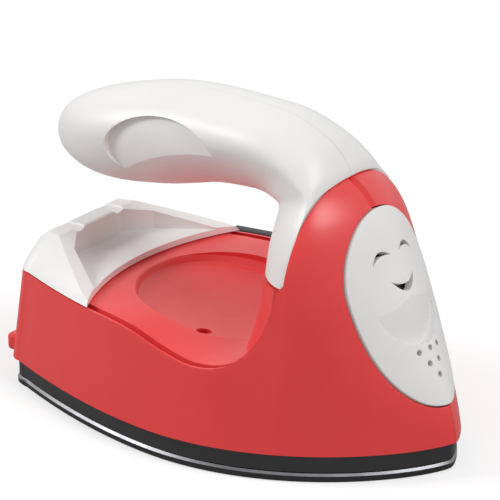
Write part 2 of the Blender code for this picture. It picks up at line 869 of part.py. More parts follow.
def make_band():
    inset = SHELL_OVERHANG + BAND_SETBACK
    low, high = BAND_LOW, BAND_LOW + BAND_HEIGHT
    outer = [
        [(x, y, z) for x, y, _ in form_ring(SHELL_LOW, inset)] for z in (low, high)
    ]
    inner = [
        [(x, y, z) for x, y, _ in form_ring(SHELL_LOW, inset + BAND_WIDTH)]
        for z in (low - OVERRUN, high + OVERRUN)
    ]
    band = part("insulator_band", loft(outer, "band"), finish("phenolic", SLATE, 0.5))
    combine(band, helper("band opening", loft(inner, "band opening")), "DIFFERENCE")
    return band


def side_box(side, x_low, x_high, y_low, y_high, z_low, z_high):
    """A box on one side of the middle plane, with y counted away from it."""
    ys = sorted((side * y_low, side * y_high))
    return (x_low, ys[0], z_low), (x_high, ys[1], z_high)


def body_screw_places():
    return [(HEEL_X + HOOD_REAR * x, SEAM_HEIGHT * z) for x, z in BODY_SCREW_SHARES]


def handle_screw_places():
    return [(HEEL_X + HOOD_REAR * x, HANDLE_HEIGHT * z) for x, z in HANDLE_SCREW_SHARES]


def shell_ribs(side):
    """Posts, shelves, rails and the heel peg of one body half."""
    shape = bmesh.new()
    inner = HALF_SEAM
    for x, z in body_screw_places():
        add_cylinder(shape, (x, side * inner, z), (x, side * SIDE_REACH, z), POST_RADIUS)
    add_box(
        shape,
        *side_box(
            side,
            HEEL_X,
            HEEL_X + SHELF_LENGTH,
            inner,
            SHELF_HALF_WIDTH,
            SHELF_HEIGHT - SHELF_THICKNESS,
            SHELF_HEIGHT,
        ),
    )
    low = (-BOARD_LENGTH * HALF + EYE_HEIGHT * HALF, side * (BOARD_HALF_WIDTH + GAP))
    high_y = side * SIDE_REACH
    ys = sorted((low[1], high_y))
    add_box(
        shape,
        (low[0], ys[0], -BOARD_DEPTH - RAIL_HEIGHT * HALF),
        (low[0] + RAIL_HEIGHT, ys[1], -BOARD_DEPTH + RAIL_HEIGHT * HALF),
        plate_frame(),
    )
    if side > 0:
        add_switch_ledge(shape)
    ribs = helper(f"ribs {side}", mesh_from(shape, "ribs"))
    combine(ribs, form(WALL * HALF, name=f"rib limit {side}"), "INTERSECT")
    return ribs


def heel_peg(side):
    low, high = side_box(
        side,
        REAR_X,
        HEEL_X + WALL,
        PEG_SPREAD - PEG_WIDTH * HALF,
        PEG_SPREAD + PEG_WIDTH * HALF,
        SHELL_LOW + PEG_RISE,
        SHELL_LOW + PEG_RISE + PEG_HEIGHT,
    )
    peg = helper(f"peg {side}", boxes("peg", [(low, high)]))
    soften(peg, PEG_ROUND)
    return peg


def side_screw_holes(places, name):
    """Screw holes from a blind end in the right half out through the left one."""
    low = -SCREW_GRIP - OVERRUN * HALF
    radius = SCREW_RADIUS + SCREW_CLEARANCE
    holes = [((x, low, z), (x, SIDE_REACH, z), radius) for x, z in places]
    return helper(f"{name} screw holes", bars("screw holes", holes, SMALL_SIDES))


def counterbores(places, name):
    """Wells over the heads of the side screws, open to the left."""
    radius = SCREW_HEAD_RADIUS + SCREW_CLEARANCE
    wells = [((x, SCREW_GRIP, z), (x, SIDE_REACH, z), radius) for x, z in places]
    return helper(f"{name} counterbores", bars("counterbores", wells, SMALL_SIDES))


def make_shell(side, name):
    mesh = form_mesh(0.0, name=name, side=side)
    shell = part(name, mesh, finish(f"{name} red", RED, 0.3))
    hollow = form(WALL, SHELL_LOW - OVERRUN, f"hollow {side}")
    combine(shell, hollow, "DIFFERENCE")
    combine(shell, shell_ribs(side), "UNION")
    combine(shell, heel_peg(side), "UNION")
    combine(shell, above_edge(), "DIFFERENCE")
    depth = DECK_THICKNESS + GAP
    rebate = deck_slab(-OVERRUN, depth, HEEL_X + DECK_REAR - GAP, f"rebate {side}")
    rebate = helper(f"rebate {side}", rebate)
    combine(rebate, form(LEDGE_WIDTH, name=f"rebate limit {side}"), "INTERSECT")
    combine(shell, rebate, "DIFFERENCE")
    window = plate_prism(egg(GAP), -WINDOW_DEPTH, PLATE_DEPTH, f"window {side}")
    combine(shell, window, "DIFFERENCE")
    combine(shell, hood_groove(side), "DIFFERENCE")
    combine(shell, gland_hole(side), "DIFFERENCE")
    places = body_screw_places()
    combine(shell, side_screw_holes(places, name), "DIFFERENCE")
    if side > 0:
        combine(shell, counterbores(places, name), "DIFFERENCE")
        combine(shell, switch_slot(), "DIFFERENCE")
    return shell


def hood_groove(side):
    """The groove along the hood's middle, from its peak to the plate's top."""
    frame = plate_frame()
    end = frame @ Vector((PLATE_WIDEST + PLATE_TOP, 0, 0))
    rings = []
    for i in range(GROOVE_STEPS + 1):
        z = between(HOOD_HEIGHT - GROOVE_DEPTH * HALF, end.z - GROOVE_DEPTH, i / GROOVE_STEPS)
        x = hood_front_x(z)
        slope = Vector((x - hood_front_x(z - GROOVE_DEPTH), 0, GROOVE_DEPTH)).normalized()
        out = Vector((slope.z, 0, -slope.x))
        spot = Vector((x, 0, z))
        high = spot + out * GROOVE_DEPTH
        low = spot - out * GROOVE_DEPTH
        wide = GROOVE_WIDTH
        rings.append([(high.x, -wide, high.z), tuple(low), (high.x, wide, high.z)])
    return helper(f"hood groove {side}", loft(rings, "hood groove"))


def gland_hole(side):
    start = (REAR_X - OVERRUN, 0, GLAND_HEIGHT)
    end = (HEEL_X + WALL + OVERRUN, 0, GLAND_HEIGHT)
    hole = bars("gland hole", [(start, end, GLAND_NECK_RADIUS + GAP)])
    return helper(f"gland hole {side}", hole)


def dish_mesh(grow, name):
    """The finger dish as a stack of ellipses below the tilted rim plane."""
    rings = []
    long_axis = DISH_LENGTH * HALF + grow
    wide_axis = DISH_WIDTH * HALF + grow

    def ring(scale, depth):
        points = []
        for i in range(DISH_SIDES):
            angle = math.tau * i / DISH_SIDES
            x = long_axis * scale * math.cos(angle)
            points.append((x, wide_axis * scale * math.sin(angle), -depth))
        return points

    rings.append(ring(DISH_RING_SHARES[0][0], -OVERRUN))
    for scale, share in DISH_RING_SHARES:
        rings.append(ring(scale, DISH_STEP * share + (grow if share else 0.0)))
    for scale, share in DISH_FLOOR_SHARES:
        rings.append(ring(scale, between(DISH_STEP, DISH_DEPTH, share) + grow))
    mesh = loft(rings, name)
    tilt = Matrix.Rotation(DISH_TILT, 4, "Y")
    mesh.transform(Matrix.Translation((HEEL_X + DISH_CENTRE, 0, dish_plane())) @ tilt)
    return helper(name, mesh)


def dish_plane():
    """Height of the dish's rim plane at its centre."""
    return SEAM_HEIGHT - DISH_LENGTH * HALF * math.tan(DISH_TILT)


def neck_ring(z, deep, inset):
    """A level section of the neck: half an ellipse behind the hood's rear edge."""
    wide = side_half_width(HOOD_X, z) - LEDGE_WIDTH - GAP - inset
    front = HOOD_X + OVERRUN if inset else HOOD_X - GAP
    deep += front - (HOOD_X - GAP)
    points = []
    for i in range(NECK_SIDES + 1):
        angle = math.pi * i / NECK_SIDES
        points.append((front - deep * math.sin(angle), -wide * math.cos(angle), z))
    return points


def neck_foot(inset, name):
    """The red foot of the neck, flared towards the dish."""
    rings = []
    for i in range(NECK_LEVELS + 1):
        share = i / NECK_LEVELS
        z = between(NECK_FOOT, NECK_SEAM - GAP, share)
        deep = NECK_HOLLOW if inset else NECK_DEPTH + NECK_FLARE * (1 - share) ** 2
        rings.append(neck_ring(z, deep, inset))
    if inset:
        rings.insert(0, [(x, y, NECK_FOOT - OVERRUN) for x, y, _ in rings[0]])
        rings.append([(x, y, NECK_SEAM + OVERRUN) for x, y, _ in rings[-1]])
    return helper(name, loft(rings, name))


def deck_limit():
    """The room for the deck: inside the walls, and over their rebate out to the ledge."""
    limit = form(LEDGE_WIDTH + GAP, name="deck rim limit")
    combine(limit, above_edge(DECK_THICKNESS, "over the rebate"), "INTERSECT")
    combine(limit, form(WALL + GAP, SHELL_LOW - OVERRUN, "deck wall limit"), "UNION")
    return limit


def make_deck():
    mesh = deck_slab(0.0, DECK_THICKNESS, HEEL_X + DECK_REAR, "deck")
    deck = part("deck", mesh, finish("deck red", RED, 0.3))
    bowl = dish_mesh(DISH_WALL, "dish underside")
    combine(bowl, above_edge(), "DIFFERENCE")
    combine(deck, bowl, "UNION")
    wells = [
        ((x, y, top + GAP), (x, y, SEAM_HEIGHT - DISH_DEPTH), WELL_RADIUS)
        for x, y, top in well_screws()
    ]
    combine(deck, helper("wells", bars("wells", wells)), "UNION")
    combine(deck, dish_mesh(0.0, "dish"), "DIFFERENCE")
    combine(deck, neck_foot(0.0, "neck foot"), "UNION")
    combine(deck, neck_foot(WALL, "neck foot hollow"), "DIFFERENCE")
    bores = []
    floors = []
    for x, y, top in well_screws():
        seat = top + GAP + WELL_FLOOR
        bores.append(((x, y, seat), (x, y, HOOD_HEIGHT), WELL_HOLE_RADIUS))
        low, high = (x, y, top - OVERRUN), (x, y, seat + OVERRUN * HALF)
        floors.append((low, high, SCREW_RADIUS + SCREW_CLEARANCE))
    combine(deck, helper("well bores", bars("well bores", bores, SMALL_SIDES)), "DIFFERENCE")
    combine(deck, helper("well floors", bars("well floors", floors, SMALL_SIDES)), "DIFFERENCE")
    combine(deck, deck_limit(), "INTERSECT")
    return deck


def cover_roof(inset, name):
    """The cap's hipped outline: the body's seam outline drawn in steadily with height."""
    floor = SEAM_HEIGHT + GAP
    base = form_half(SEAM_HEIGHT, inset)
    tip_x = HEEL_X + COVER_TIP
    side = [point for point in base if point[0] < tip_x - GAP]
    side += [(tip_x, side_half_width(tip_x, SEAM_HEIGHT) - inset)]
    top = COVER_HEIGHT + COVER_WALL
    rings = []
    for i in range(COVER_LEVELS):
        rise = top * i / (COVER_LEVELS - 1)
        draw = max(rise - COVER_KERB, 0.0) * COVER_HIP_SHARE
        shift = rise * COVER_HEEL_LEAN_SHARE
        half = [(x + shift, max(y - draw, GAP), floor + rise) for x, y in side]
        rings.append([(x, -y, z) for x, y, z in half] + half[::-1])
    if inset:
        rings.insert(0, [(x, y, floor - OVERRUN) for x, y, _ in rings[0]])
    return loft(rings, name)


def cover_profile(inset, name):
    """The cap's side view, carried right across."""
    floor = SEAM_HEIGHT + GAP
    line = [(HEEL_X + COVER_TIP * x, floor + COVER_HEIGHT * z) for x, z in COVER_PROFILE_SHARES]
    line = shifted_line(line, inset) if inset else line
    outline = [(line[0][0], floor - OVERRUN), *line, (line[-1][0], floor - OVERRUN)]
    return helper(name, across(outline, name))


def cover_notch(grow, name):
    """The opening in the cap's top, with a flat rear wall and flared cheeks."""
    floor = SEAM_HEIGHT + GAP + COVER_FLOOR
    rear = HEEL_X + NOTCH_REAR - grow
    middle = HEEL_X + NOTCH_MIDDLE - grow * HALF
    front = HEEL_X + COVER_TIP + OVERRUN
    half = [
        (rear, NOTCH_REAR_HALF_WIDTH + grow),
        (middle, NOTCH_MIDDLE_HALF_WIDTH + grow),
        (front, NOTCH_FRONT_HALF_WIDTH + grow),
    ]
    outline = [(x, -y, 0) for x, y in half] + [(x, y, 0) for x, y in half[::-1]]
    high = HANDLE_HEIGHT
    return helper(name, prism(outline, (0, 0, floor - grow), (0, 0, high), name))


def cover_arc(grow, name):
    """The round front edge of the cap, as the disc in front of it."""
    tip = side_half_width(HEEL_X + COVER_TIP, SEAM_HEIGHT)
    centre = HEEL_X + COVER_TIP + math.sqrt(COVER_ARC_RADIUS**2 - tip * tip)
    low = (centre, 0, SEAM_HEIGHT - OVERRUN - OVERRUN)
    high = (centre, 0, HOOD_HEIGHT)
    disc = bars(name, [(low, high, COVER_ARC_RADIUS + grow)], ARC_SIDES)
    return helper(name, disc)


def cover_hollow():
    """The room under the cap's rim, open below."""
    hollow = helper("cover hollow", cover_roof(COVER_WALL, "cover hollow"))
    combine(hollow, cover_profile(COVER_WALL, "cover profile inside"), "INTERSECT")
    combine(hollow, cover_notch(COVER_WALL, "notch wall"), "DIFFERENCE")
    combine(hollow, cover_arc(HOLLOW_MARGIN, "arc wall"), "DIFFERENCE")
    return hollow


def cover_tab(side):
    """A tab that hangs from the cap's rear wall inside the body's."""
    rear = HEEL_X - SHELL_OVERHANG + WALL + GAP + HEEL_LEAN_SHARE * SEAM_HEIGHT
    low = SEAM_HEIGHT - TAB_DEPTH
    step = SEAM_HEIGHT + GAP + GAP
    high = step + TAB_THICKNESS
    front = rear + TAB_THICKNESS
    points = [(rear, 0, low), (front, 0, low), (front, 0, high)]
    points += [(HEEL_X, 0, high), (HEEL_X, 0, step), (rear, 0, step)]
    start = (0, side * TAB_SPREAD - TAB_WIDTH * HALF, 0)
    name = f"cover tab {side}"
    return helper(name, prism(points, start, (0, TAB_WIDTH, 0), name))


def make_cover():
    mesh = cover_roof(0.0, "rear cover")
    cover = part("rear_cover", mesh, finish("cover white", WHITE, 0.35))
    combine(cover, cover_profile(0.0, "cover profile"), "INTERSECT")
    combine(cover, cover_arc(0.0, "cover arc"), "DIFFERENCE")
    combine(cover, cover_notch(0.0, "notch"), "DIFFERENCE")
    shape = bmesh.new()
    high = SEAM_HEIGHT + GAP + SADDLE_RISE
    for side in (-1, 1):
        start = (REAR_X, side * SADDLE_SPREAD, high)
        end = (HEEL_X + NOTCH_REAR + WALL, side * SADDLE_SPREAD, high)
        add_cylinder(shape, start, end, SADDLE_RADIUS)
    combine(cover, helper("saddles", mesh_from(shape, "saddles")), "DIFFERENCE")
    soften(cover, COVER_ROUND, angle=COVER_CREASE)
    combine(cover, cover_hollow(), "DIFFERENCE")
    for side in (-1, 1):
        combine(cover, cover_tab(side), "UNION")
    return cover


def grip_half(station, inset, steps):
    """One side of a handle section, from its lower line to its upper line."""
    low_x, low_z, high_x, high_z, width, widest = station
    low = Vector((HEEL_X + HOOD_REAR * low_x, HANDLE_HEIGHT * low_z))
    high = Vector((HEEL_X + HOOD_REAR * high_x, HANDLE_HEIGHT * high_z))
    run = (high - low).normalized()
    low += run * inset
    if widest < NECK_WIDEST_SHARE or not inset:
        high -= run * inset
    else:
        high += run * OVERRUN
    half_width = HANDLE_HALF_WIDTH * width - inset
    middle = low.lerp(high, min(widest, 1.0))
    under = read_line(UNDER_POWER_SHARES, low_x)
    points = []
    for i in range(steps + 1):
        angle = math.pi * i / steps
        up = -math.cos(angle)
        out = math.sin(angle)
        power = GRIP_POWER if up > 0 else under
        rise = abs(up) ** (2 / power)
        end = high if up > 0 else low
        spot = middle + (end - middle) * rise
        points.append((spot.x, half_width * out ** (2 / power), spot.y))
    return points


def handle_mesh(inset, name, side=0):
    """The handle with its neck, moved in by inset; one side or both."""
    stations = [Vector(shares) for shares in HANDLE_STATION_SHARES]
    if not inset:
        stations = smooth_route(stations, CURVE_STEPS)
    steps = INNER_STEPS if inset else GRIP_STEPS
    halves = [grip_half(station, inset, steps) for station in stations]
    tip_x = HEEL_X + HOOD_REAR * HANDLE_END_SHARES[0] + inset
    tip = Vector((tip_x, 0.0, HANDLE_HEIGHT * HANDLE_END_SHARES[1]))
    halves.append([tuple(Vector(point).lerp(tip, TIP_SHARE)) for point in halves[-1]])
    if inset:
        halves.insert(0, [(x, y, z - OVERRUN) for x, y, z in halves[0]])
    if side:
        inner = HALF_SEAM * HALF
        rings = [[(x, side * max(y, inner), z) for x, y, z in half] for half in halves]
    else:
        rings = [half + [(x, -y, z) for x, y, z in half[-2:0:-1]] for half in halves]
    return loft(rings, name)


def handle_solid(inset, name):
    return helper(name, handle_mesh(inset, name))


def hood_clearance(side):
    """The room the hood takes, grown by the seam's gap, that the handle stays out of."""
    low = NECK_SEAM - OVERRUN
    high = HANDLE_HEIGHT + OVERRUN
    edge_x, edge_z = edge_line()[-1]
    outline = [
        (edge_x - GAP, low),
        (edge_x - GAP, edge_z),
        (hood_rear_x(ARCH_START) - GAP, ARCH_START),
        (hood_rear_x(HOOD_HEIGHT) - GAP, HOOD_HEIGHT),
        (hood_rear_x(HOOD_HEIGHT) - GAP, high),
        (NOSE_X + OVERRUN, high),
        (NOSE_X + OVERRUN, low),
    ]
    name = f"hood room {side}"
    room = helper(name, across(outline, name))
    combine(room, form(-GAP, name=f"hood room limit {side}"), "INTERSECT")
    return room


def dent(side):
    """The room over an oval dent: an oval prism less the flatter core that stays."""
    spot = Matrix.Translation((HEEL_X + DENT_STATION, 0, DENT_HEIGHT))
    turn = Matrix.Rotation(DENT_TILT, 4, "Y")
    outline = []
    for i in range(DENT_SIDES):
        angle = math.tau * i / DENT_SIDES
        outline.append((DENT_HALF_LENGTH * math.cos(angle), 0, DENT_HALF_HEIGHT * math.sin(angle)))
    reach = side * SIDE_REACH
    mesh = prism(outline, (0, side * HANDLE_HALF_WIDTH * HALF, 0), (0, reach, 0), "dent")
    mesh.transform(spot @ turn)
    room = helper(f"dent {side}", mesh)
    shape = bmesh.new()
    bmesh.ops.create_uvsphere(shape, u_segments=64, v_segments=32, radius=1.0)
    core = mesh_from(shape, "dent core")
    axes = (DENT_CORE_LENGTH, HANDLE_HALF_WIDTH - DENT_DEPTH, DENT_CORE_HEIGHT, 1.0)
    core.transform(spot @ turn @ Matrix.Diagonal(axes))
    combine(room, helper(f"dent core {side}", core), "DIFFERENCE")
    return room


def handle_posts(side):
    shape = bmesh.new()
    inner = HALF_SEAM
    for x, z in handle_screw_places():
        add_cylinder(shape, (x, side * inner, z), (x, side * HANDLE_HALF_WIDTH, z), POST_RADIUS)
    posts = helper(f"handle posts {side}", mesh_from(shape, "handle posts"))
    combine(posts, handle_solid(HANDLE_WALL * HALF, f"post limit {side}"), "INTERSECT")
    return posts


def neck_lip(side):
    """An arched lip on the neck that the hood closes over."""
    lip = form(WALL + GAP, name=f"lip {side}")
    inside = form(WALL + GAP + LIP_WIDTH, SHELL_LOW - OVERRUN, f"lip inside {side}")
    combine(lip, inside, "DIFFERENCE")
    span = side_box(
        side,
        HOOD_X - WALL,
        HOOD_X + LIP_REACH,
        HALF_SEAM,
        SIDE_REACH,
        NECK_SEAM + WALL,
        HOOD_HEIGHT,
    )
    combine(lip, helper(f"lip box {side}", boxes("lip box", [span])), "INTERSECT")
    return lip


def make_handle(side, name):
    handle = part(name, handle_mesh(0.0, name, side), finish(f"{name} white", WHITE, 0.3))
    combine(handle, handle_solid(HANDLE_WALL, f"{name} hollow"), "DIFFERENCE")
    combine(handle, hood_clearance(side), "DIFFERENCE")
    combine(handle, dent(side), "DIFFERENCE")
    combine(handle, neck_lip(side), "UNION")
    combine(handle, handle_posts(side), "UNION")
    places = handle_screw_places()
    combine(handle, side_screw_holes(places, name), "DIFFERENCE")
    if side > 0:
        combine(handle, counterbores(places, name), "DIFFERENCE")
    return handle


def scoop_floor(u, v):
    """Depth of the scoop's floor at a place on the plate."""
    run = u - SCOOP_CREST
    rise = run * math.tan(SCOOP_SLOPE) - run * run * HALF / SCOOP_LONG_RADIUS
    return SCOOP_CREST_RISE + rise - v * v * HALF / SCOOP_CROSS_RADIUS


def scoop(grow, name):
    """The room of the scoop, grown by a wall."""
    rings = []
    for share in SCOOP_RING_SHARES:
        ring = []
        for i in range(SCOOP_SIDES):
            angle = math.tau * i / SCOOP_SIDES
            u = SCOOP_CENTRE + (SCOOP_HALF_LENGTH + grow) * share * math.cos(angle)
            v = (SCOOP_HALF_WIDTH + grow) * share * math.sin(angle)
            ring.append((u, v, scoop_floor(u, v) - grow))
        rings.append(ring)
    rings.append([(u, v, PLATE_DEPTH) for u, v, _ in rings[-1]])
    return helper(name, place(loft(rings, name), plate_frame()))


def plate_openings():
    """The three crescent slots and the six vents, as one group of cutters."""
    shape = bmesh.new()
    rise = EYE_RISE - EYE_SLOT
    outlines = [
        crescent((EYE_HEIGHT, side * EYE_SPREAD), EYE_HALF_WIDTH, EYE_RISE, rise, side * EYE_TILT)
        for side in (-1, 1)
    ]
    mouth = crescent((MOUTH_HEIGHT, 0), MOUTH_HALF_WIDTH, MOUTH_SLOT - MOUTH_DROP, -MOUTH_DROP, 0)
    for outline in [*outlines, mouth]:
        points = [(u, v, 0) for u, v in outline]
        through = (0, 0, PLATE_DEPTH * 2)
        shape.from_mesh(prism(points, (0, 0, -PLATE_DEPTH), through, "slot"))
    for row, count in enumerate(VENT_ROWS):
        u = -VENT_TOP - VENT_ROW_PITCH * row
        for i in range(count):
            v = VENT_PITCH * (i - (count - 1) * HALF)
            low, high = (u, v, -PLATE_DEPTH), (u, v, PLATE_DEPTH)
            add_cylinder(shape, low, high, VENT_RADIUS, VENT_SIDES)
    mesh = mesh_from(shape, "plate openings")
    return helper("plate openings", place(mesh, plate_frame()))


def make_plate():
    plate = part("front_plate", form_mesh(-PLATE_PROUD), finish("plate white", WHITE, 0.35))
    thick = PLATE_THICKNESS - PLATE_PROUD
    inside = form(thick, SHELL_LOW - OVERRUN, "plate inside")
    bulge = scoop(SCOOP_WALL, "scoop back")
    combine(bulge, form(GAP, name="scoop back limit"), "INTERSECT")
    combine(plate, inside, "DIFFERENCE")
    combine(plate, bulge, "UNION")
    outline = plate_prism(egg(0.0), -PLATE_DEPTH * HALF, PLATE_DEPTH, "plate outline")
    combine(plate, outline, "INTERSECT")
    combine(plate, scoop(0.0, "scoop"), "DIFFERENCE")
    combine(plate, plate_openings(), "DIFFERENCE")
    return plate


def make_diffuser():
    outer = PLATE_THICKNESS - PLATE_PROUD + GAP
    lens = part("slot_diffuser", form_mesh(outer), finish("diffuser", (0.10, 0.10, 0.11), 0.2))
    inside = form(outer + DIFFUSER_THICKNESS, SHELL_LOW - OVERRUN, "diffuser inside")
    combine(lens, inside, "DIFFERENCE")
    half_u = (DIFFUSER_TOP - DIFFUSER_BOTTOM) * HALF
    centre = (DIFFUSER_TOP + DIFFUSER_BOTTOM) * HALF
    outline = []
    for i in range(DIFFUSER_SIDES):
        angle = math.tau * i / DIFFUSER_SIDES
        u = centre + half_u * math.cos(angle)
        outline.append((u, DIFFUSER_HALF_WIDTH * math.sin(angle)))
    edge = plate_prism(outline, -PLATE_DEPTH * HALF, PLATE_DEPTH, "diffuser outline")
    combine(lens, edge, "INTERSECT")
    combine(lens, scoop(SCOOP_WALL + GAP, "scoop clearance"), "DIFFERENCE")
    return lens


def make_lamp_board():
    centre = EYE_HEIGHT * HALF
    low = (centre - BOARD_LENGTH * HALF, -BOARD_HALF_WIDTH, -BOARD_DEPTH - BOARD_THICKNESS)
    high = (centre + BOARD_LENGTH * HALF, BOARD_HALF_WIDTH, -BOARD_DEPTH)
    board = boxes("lamp board", [(low, high)], plate_frame())
    part("lamp_board", board, finish("board green", (0.02, 0.18, 0.08), 0.5))
    for side, word in ((-1, "right"), (1, "left")):
        shape = bmesh.new()
        y = side * EYE_SPREAD
        base = -BOARD_DEPTH + GAP
        low, high = (centre, y, base), (centre, y, base + LAMP_LENGTH)
        add_cylinder(shape, low, high, LAMP_RADIUS, SMALL_SIDES, LAMP_RADIUS * LAMP_TIP_SHARE)
        mesh = place(mesh_from(shape, "lamp"), plate_frame())
        part(f"lamp_{word}", mesh, finish(f"lamp {word}", (0.9, 0.3, 0.2), 0.15))


def make_heater():
    start, end = heater_ends()
    low = BED_TOP + GAP
    high = low + HEATER_THICKNESS
    wide = HEATER_HALF_WIDTH
    sheet = boxes("heater", [((start, -wide, low), (end, wide, high))])
    part("heater_sheet", sheet, finish("mica", (0.55, 0.45, 0.30), 0.5))
    low = high + GAP
    high = low + PRESSURE_THICKNESS
    reach = BOSS_RADIUS * 2 + GAP
    wide = HEATER_HALF_WIDTH - PRESSURE_MARGIN
    plate = boxes("pressure", [((start - reach, -wide, low), (end + reach, wide, high))])
    press = part("pressure_plate", plate, finish("zinc steel", STEEL, 0.35, 1.0))
    holes = [
        ((x, y, low - OVERRUN), (x, y, high + OVERRUN), SCREW_RADIUS + SCREW_CLEARANCE)
        for x, y, _ in pressure_bosses()
    ]
    holes = helper("pressure holes", bars("pressure holes", holes, SMALL_SIDES))
    combine(press, holes, "DIFFERENCE")
    for i, (x, y, _) in enumerate(pressure_bosses()):
        make_screw(f"pressure_screw_{i + 1}", (x, y, high + GAP), (0, 0, -1), SHORT_SCREW)
    low = high + GAP
    high = low + INSULATION_THICKNESS
    start += INSULATION_MARGIN
    end -= INSULATION_MARGIN
    felt = boxes("felt", [((start, -wide, low), (end, wide, high))])
    part("insulation_sheet", felt, finish("ceramic felt", (0.75, 0.74, 0.70), 0.9))


def turned(name, profile, material, steps=ROUND_SIDES):
    """A turned solid about Z from an (r, z) profile that runs down its outer side."""
    mesh = bpy.data.meshes.new(name)
    edges = [(i, i + 1) for i in range(len(profile) - 1)]
    if profile[0][0] > 0:
        edges.append((len(profile) - 1, 0))
    mesh.from_pydata([(r, 0.0, z) for r, z in profile], edges, [])
    made = part(name, mesh, material)
    spin = made.modifiers.new("turned", "SCREW")
    spin.axis = "Z"
    spin.angle = math.tau
    spin.steps = steps
    spin.render_steps = steps
    spin.use_merge_vertices = True
    spin.merge_threshold = 0.00001
    return made


def make_screw(name, seat, direction, length):
    """A pan-head screw: seat is the middle of the head's underside, direction is the tip's way."""
    profile = (
        (0.0, SCREW_HEAD_HEIGHT),
        (SCREW_HEAD_RADIUS * SCREW_CROWN_SHARE, SCREW_HEAD_HEIGHT),
        (SCREW_HEAD_RADIUS, SCREW_HEAD_HEIGHT * SCREW_RIM_SHARE),
        (SCREW_HEAD_RADIUS, 0.0),
        (SCREW_RADIUS, 0.0),
        (SCREW_RADIUS, -length + SCREW_RADIUS),
        (0.0, -length),
    )
    made = turned(name, profile, finish(f"{name} steel", STEEL, 0.3, 1.0), SMALL_SIDES)
    made.location = seat
    made.rotation_mode = "QUATERNION"
    made.rotation_quaternion = (-Vector(direction)).to_track_quat("Z", "Y")
    return made


def make_deck_screws():
    for i, (x, y, top) in enumerate(well_screws()):
        seat = top + GAP + WELL_FLOOR + GAP
        make_screw(f"deck_screw_{i + 1}", (x, y, seat), (0, 0, -1), seat - SOLE_THICKNESS - GAP)


def make_side_screws():
    for word, places in (("body", body_screw_places()), ("handle", handle_screw_places())):
        for i, (x, z) in enumerate(places):
            seat = (x, SCREW_GRIP + GAP, z)
            make_screw(f"{word}_screw_{i + 1}", seat, (0, -1, 0), SCREW_GRIP * 2)


def make_thermostat():
    x = HEEL_X + THERMOSTAT_STATION
    low = BED_TOP + GAP
    rim = low + THERMOSTAT_CAP_HEIGHT
    cap = bars("cap", [((x, 0, low), (x, 0, rim), THERMOSTAT_CAP_RADIUS)])
    part("thermostat_cap", cap, finish("thermostat aluminium", STEEL, 0.35, 1.0))
    body_low = rim + GAP
    body_high = body_low + THERMOSTAT_BODY_HEIGHT
    body = bars("body", [((x, 0, body_low), (x, 0, body_high), THERMOSTAT_BODY_RADIUS)])
    part("thermostat_body", body, finish("thermostat phenolic", (0.12, 0.06, 0.03), 0.5))
    half = BRACKET_WIDTH * HALF
    top = body_low + BRACKET_THICKNESS
    reach = BRACKET_HALF_LENGTH
    strap = boxes("strap", [((x - half, -reach, body_low), (x + half, reach, top))])
    bracket = part("thermostat_bracket", strap, finish("bracket steel", STEEL, 0.35, 1.0))
    ring_radius = THERMOSTAT_BODY_RADIUS + GAP + BRACKET_RING
    ring = bars("ring", [((x, 0, body_low), (x, 0, top), ring_radius)])
    combine(bracket, helper("bracket ring", ring), "UNION")
    shape = bmesh.new()
    span = (body_low - OVERRUN, body_low + OVERRUN)
    add_cylinder(shape, (x, 0, span[0]), (x, 0, span[1]), THERMOSTAT_BODY_RADIUS + GAP)
    for px, py, _ in bracket_screws():
        clear = SCREW_RADIUS + SCREW_CLEARANCE
        add_cylinder(shape, (px, py, span[0]), (px, py, span[1]), clear, SMALL_SIDES)
    combine(bracket, helper("bracket holes", mesh_from(shape, "bracket holes")), "DIFFERENCE")
    for i, (px, py, _) in enumerate(bracket_screws()):
        seat = (px, py, top + GAP)
        make_screw(f"bracket_screw_{i + 1}", seat, (0, 0, -1), SHORT_SCREW)


def make_fuse():
    x = HEEL_X + FUSE_STATION
    z = BED_TOP + GAP + FUSE_RADIUS
    fuse = bars("fuse", [((x, -FUSE_HALF_LENGTH, z), (x, FUSE_HALF_LENGTH, z), FUSE_RADIUS)])
    part("thermal_fuse", fuse, finish("fuse case", (0.80, 0.78, 0.72), 0.4))
    inner = FUSE_RADIUS + GAP
    outer = inner + CLIP_THICKNESS
    outline = []
    for radius, order in ((outer, 1), (inner, -1)):
        arc = []
        for i in range(9):
            angle = math.pi * i / 8
            arc.append((-radius * math.cos(angle), radius * math.sin(angle)))
        foot = BED_TOP + GAP - z
        reach = outer + CLIP_FOOT
        if order > 0:
            step = foot + CLIP_THICKNESS
            arc = [(-reach, foot), (-reach, step), (-outer, step), *arc]
            arc += [(outer, step), (reach, step), (reach, foot)]
        else:
            arc = [(-inner, foot)] + arc + [(inner, foot)]
        outline += arc[::order]
    points = [(x + px, 0, z + pz) for px, pz in outline]
    clip = prism(points, (0, -CLIP_HALF_WIDTH, 0), (0, CLIP_HALF_WIDTH * 2, 0), "clip")
    part("fuse_clip", clip, finish("clip steel", STEEL, 0.35, 1.0))


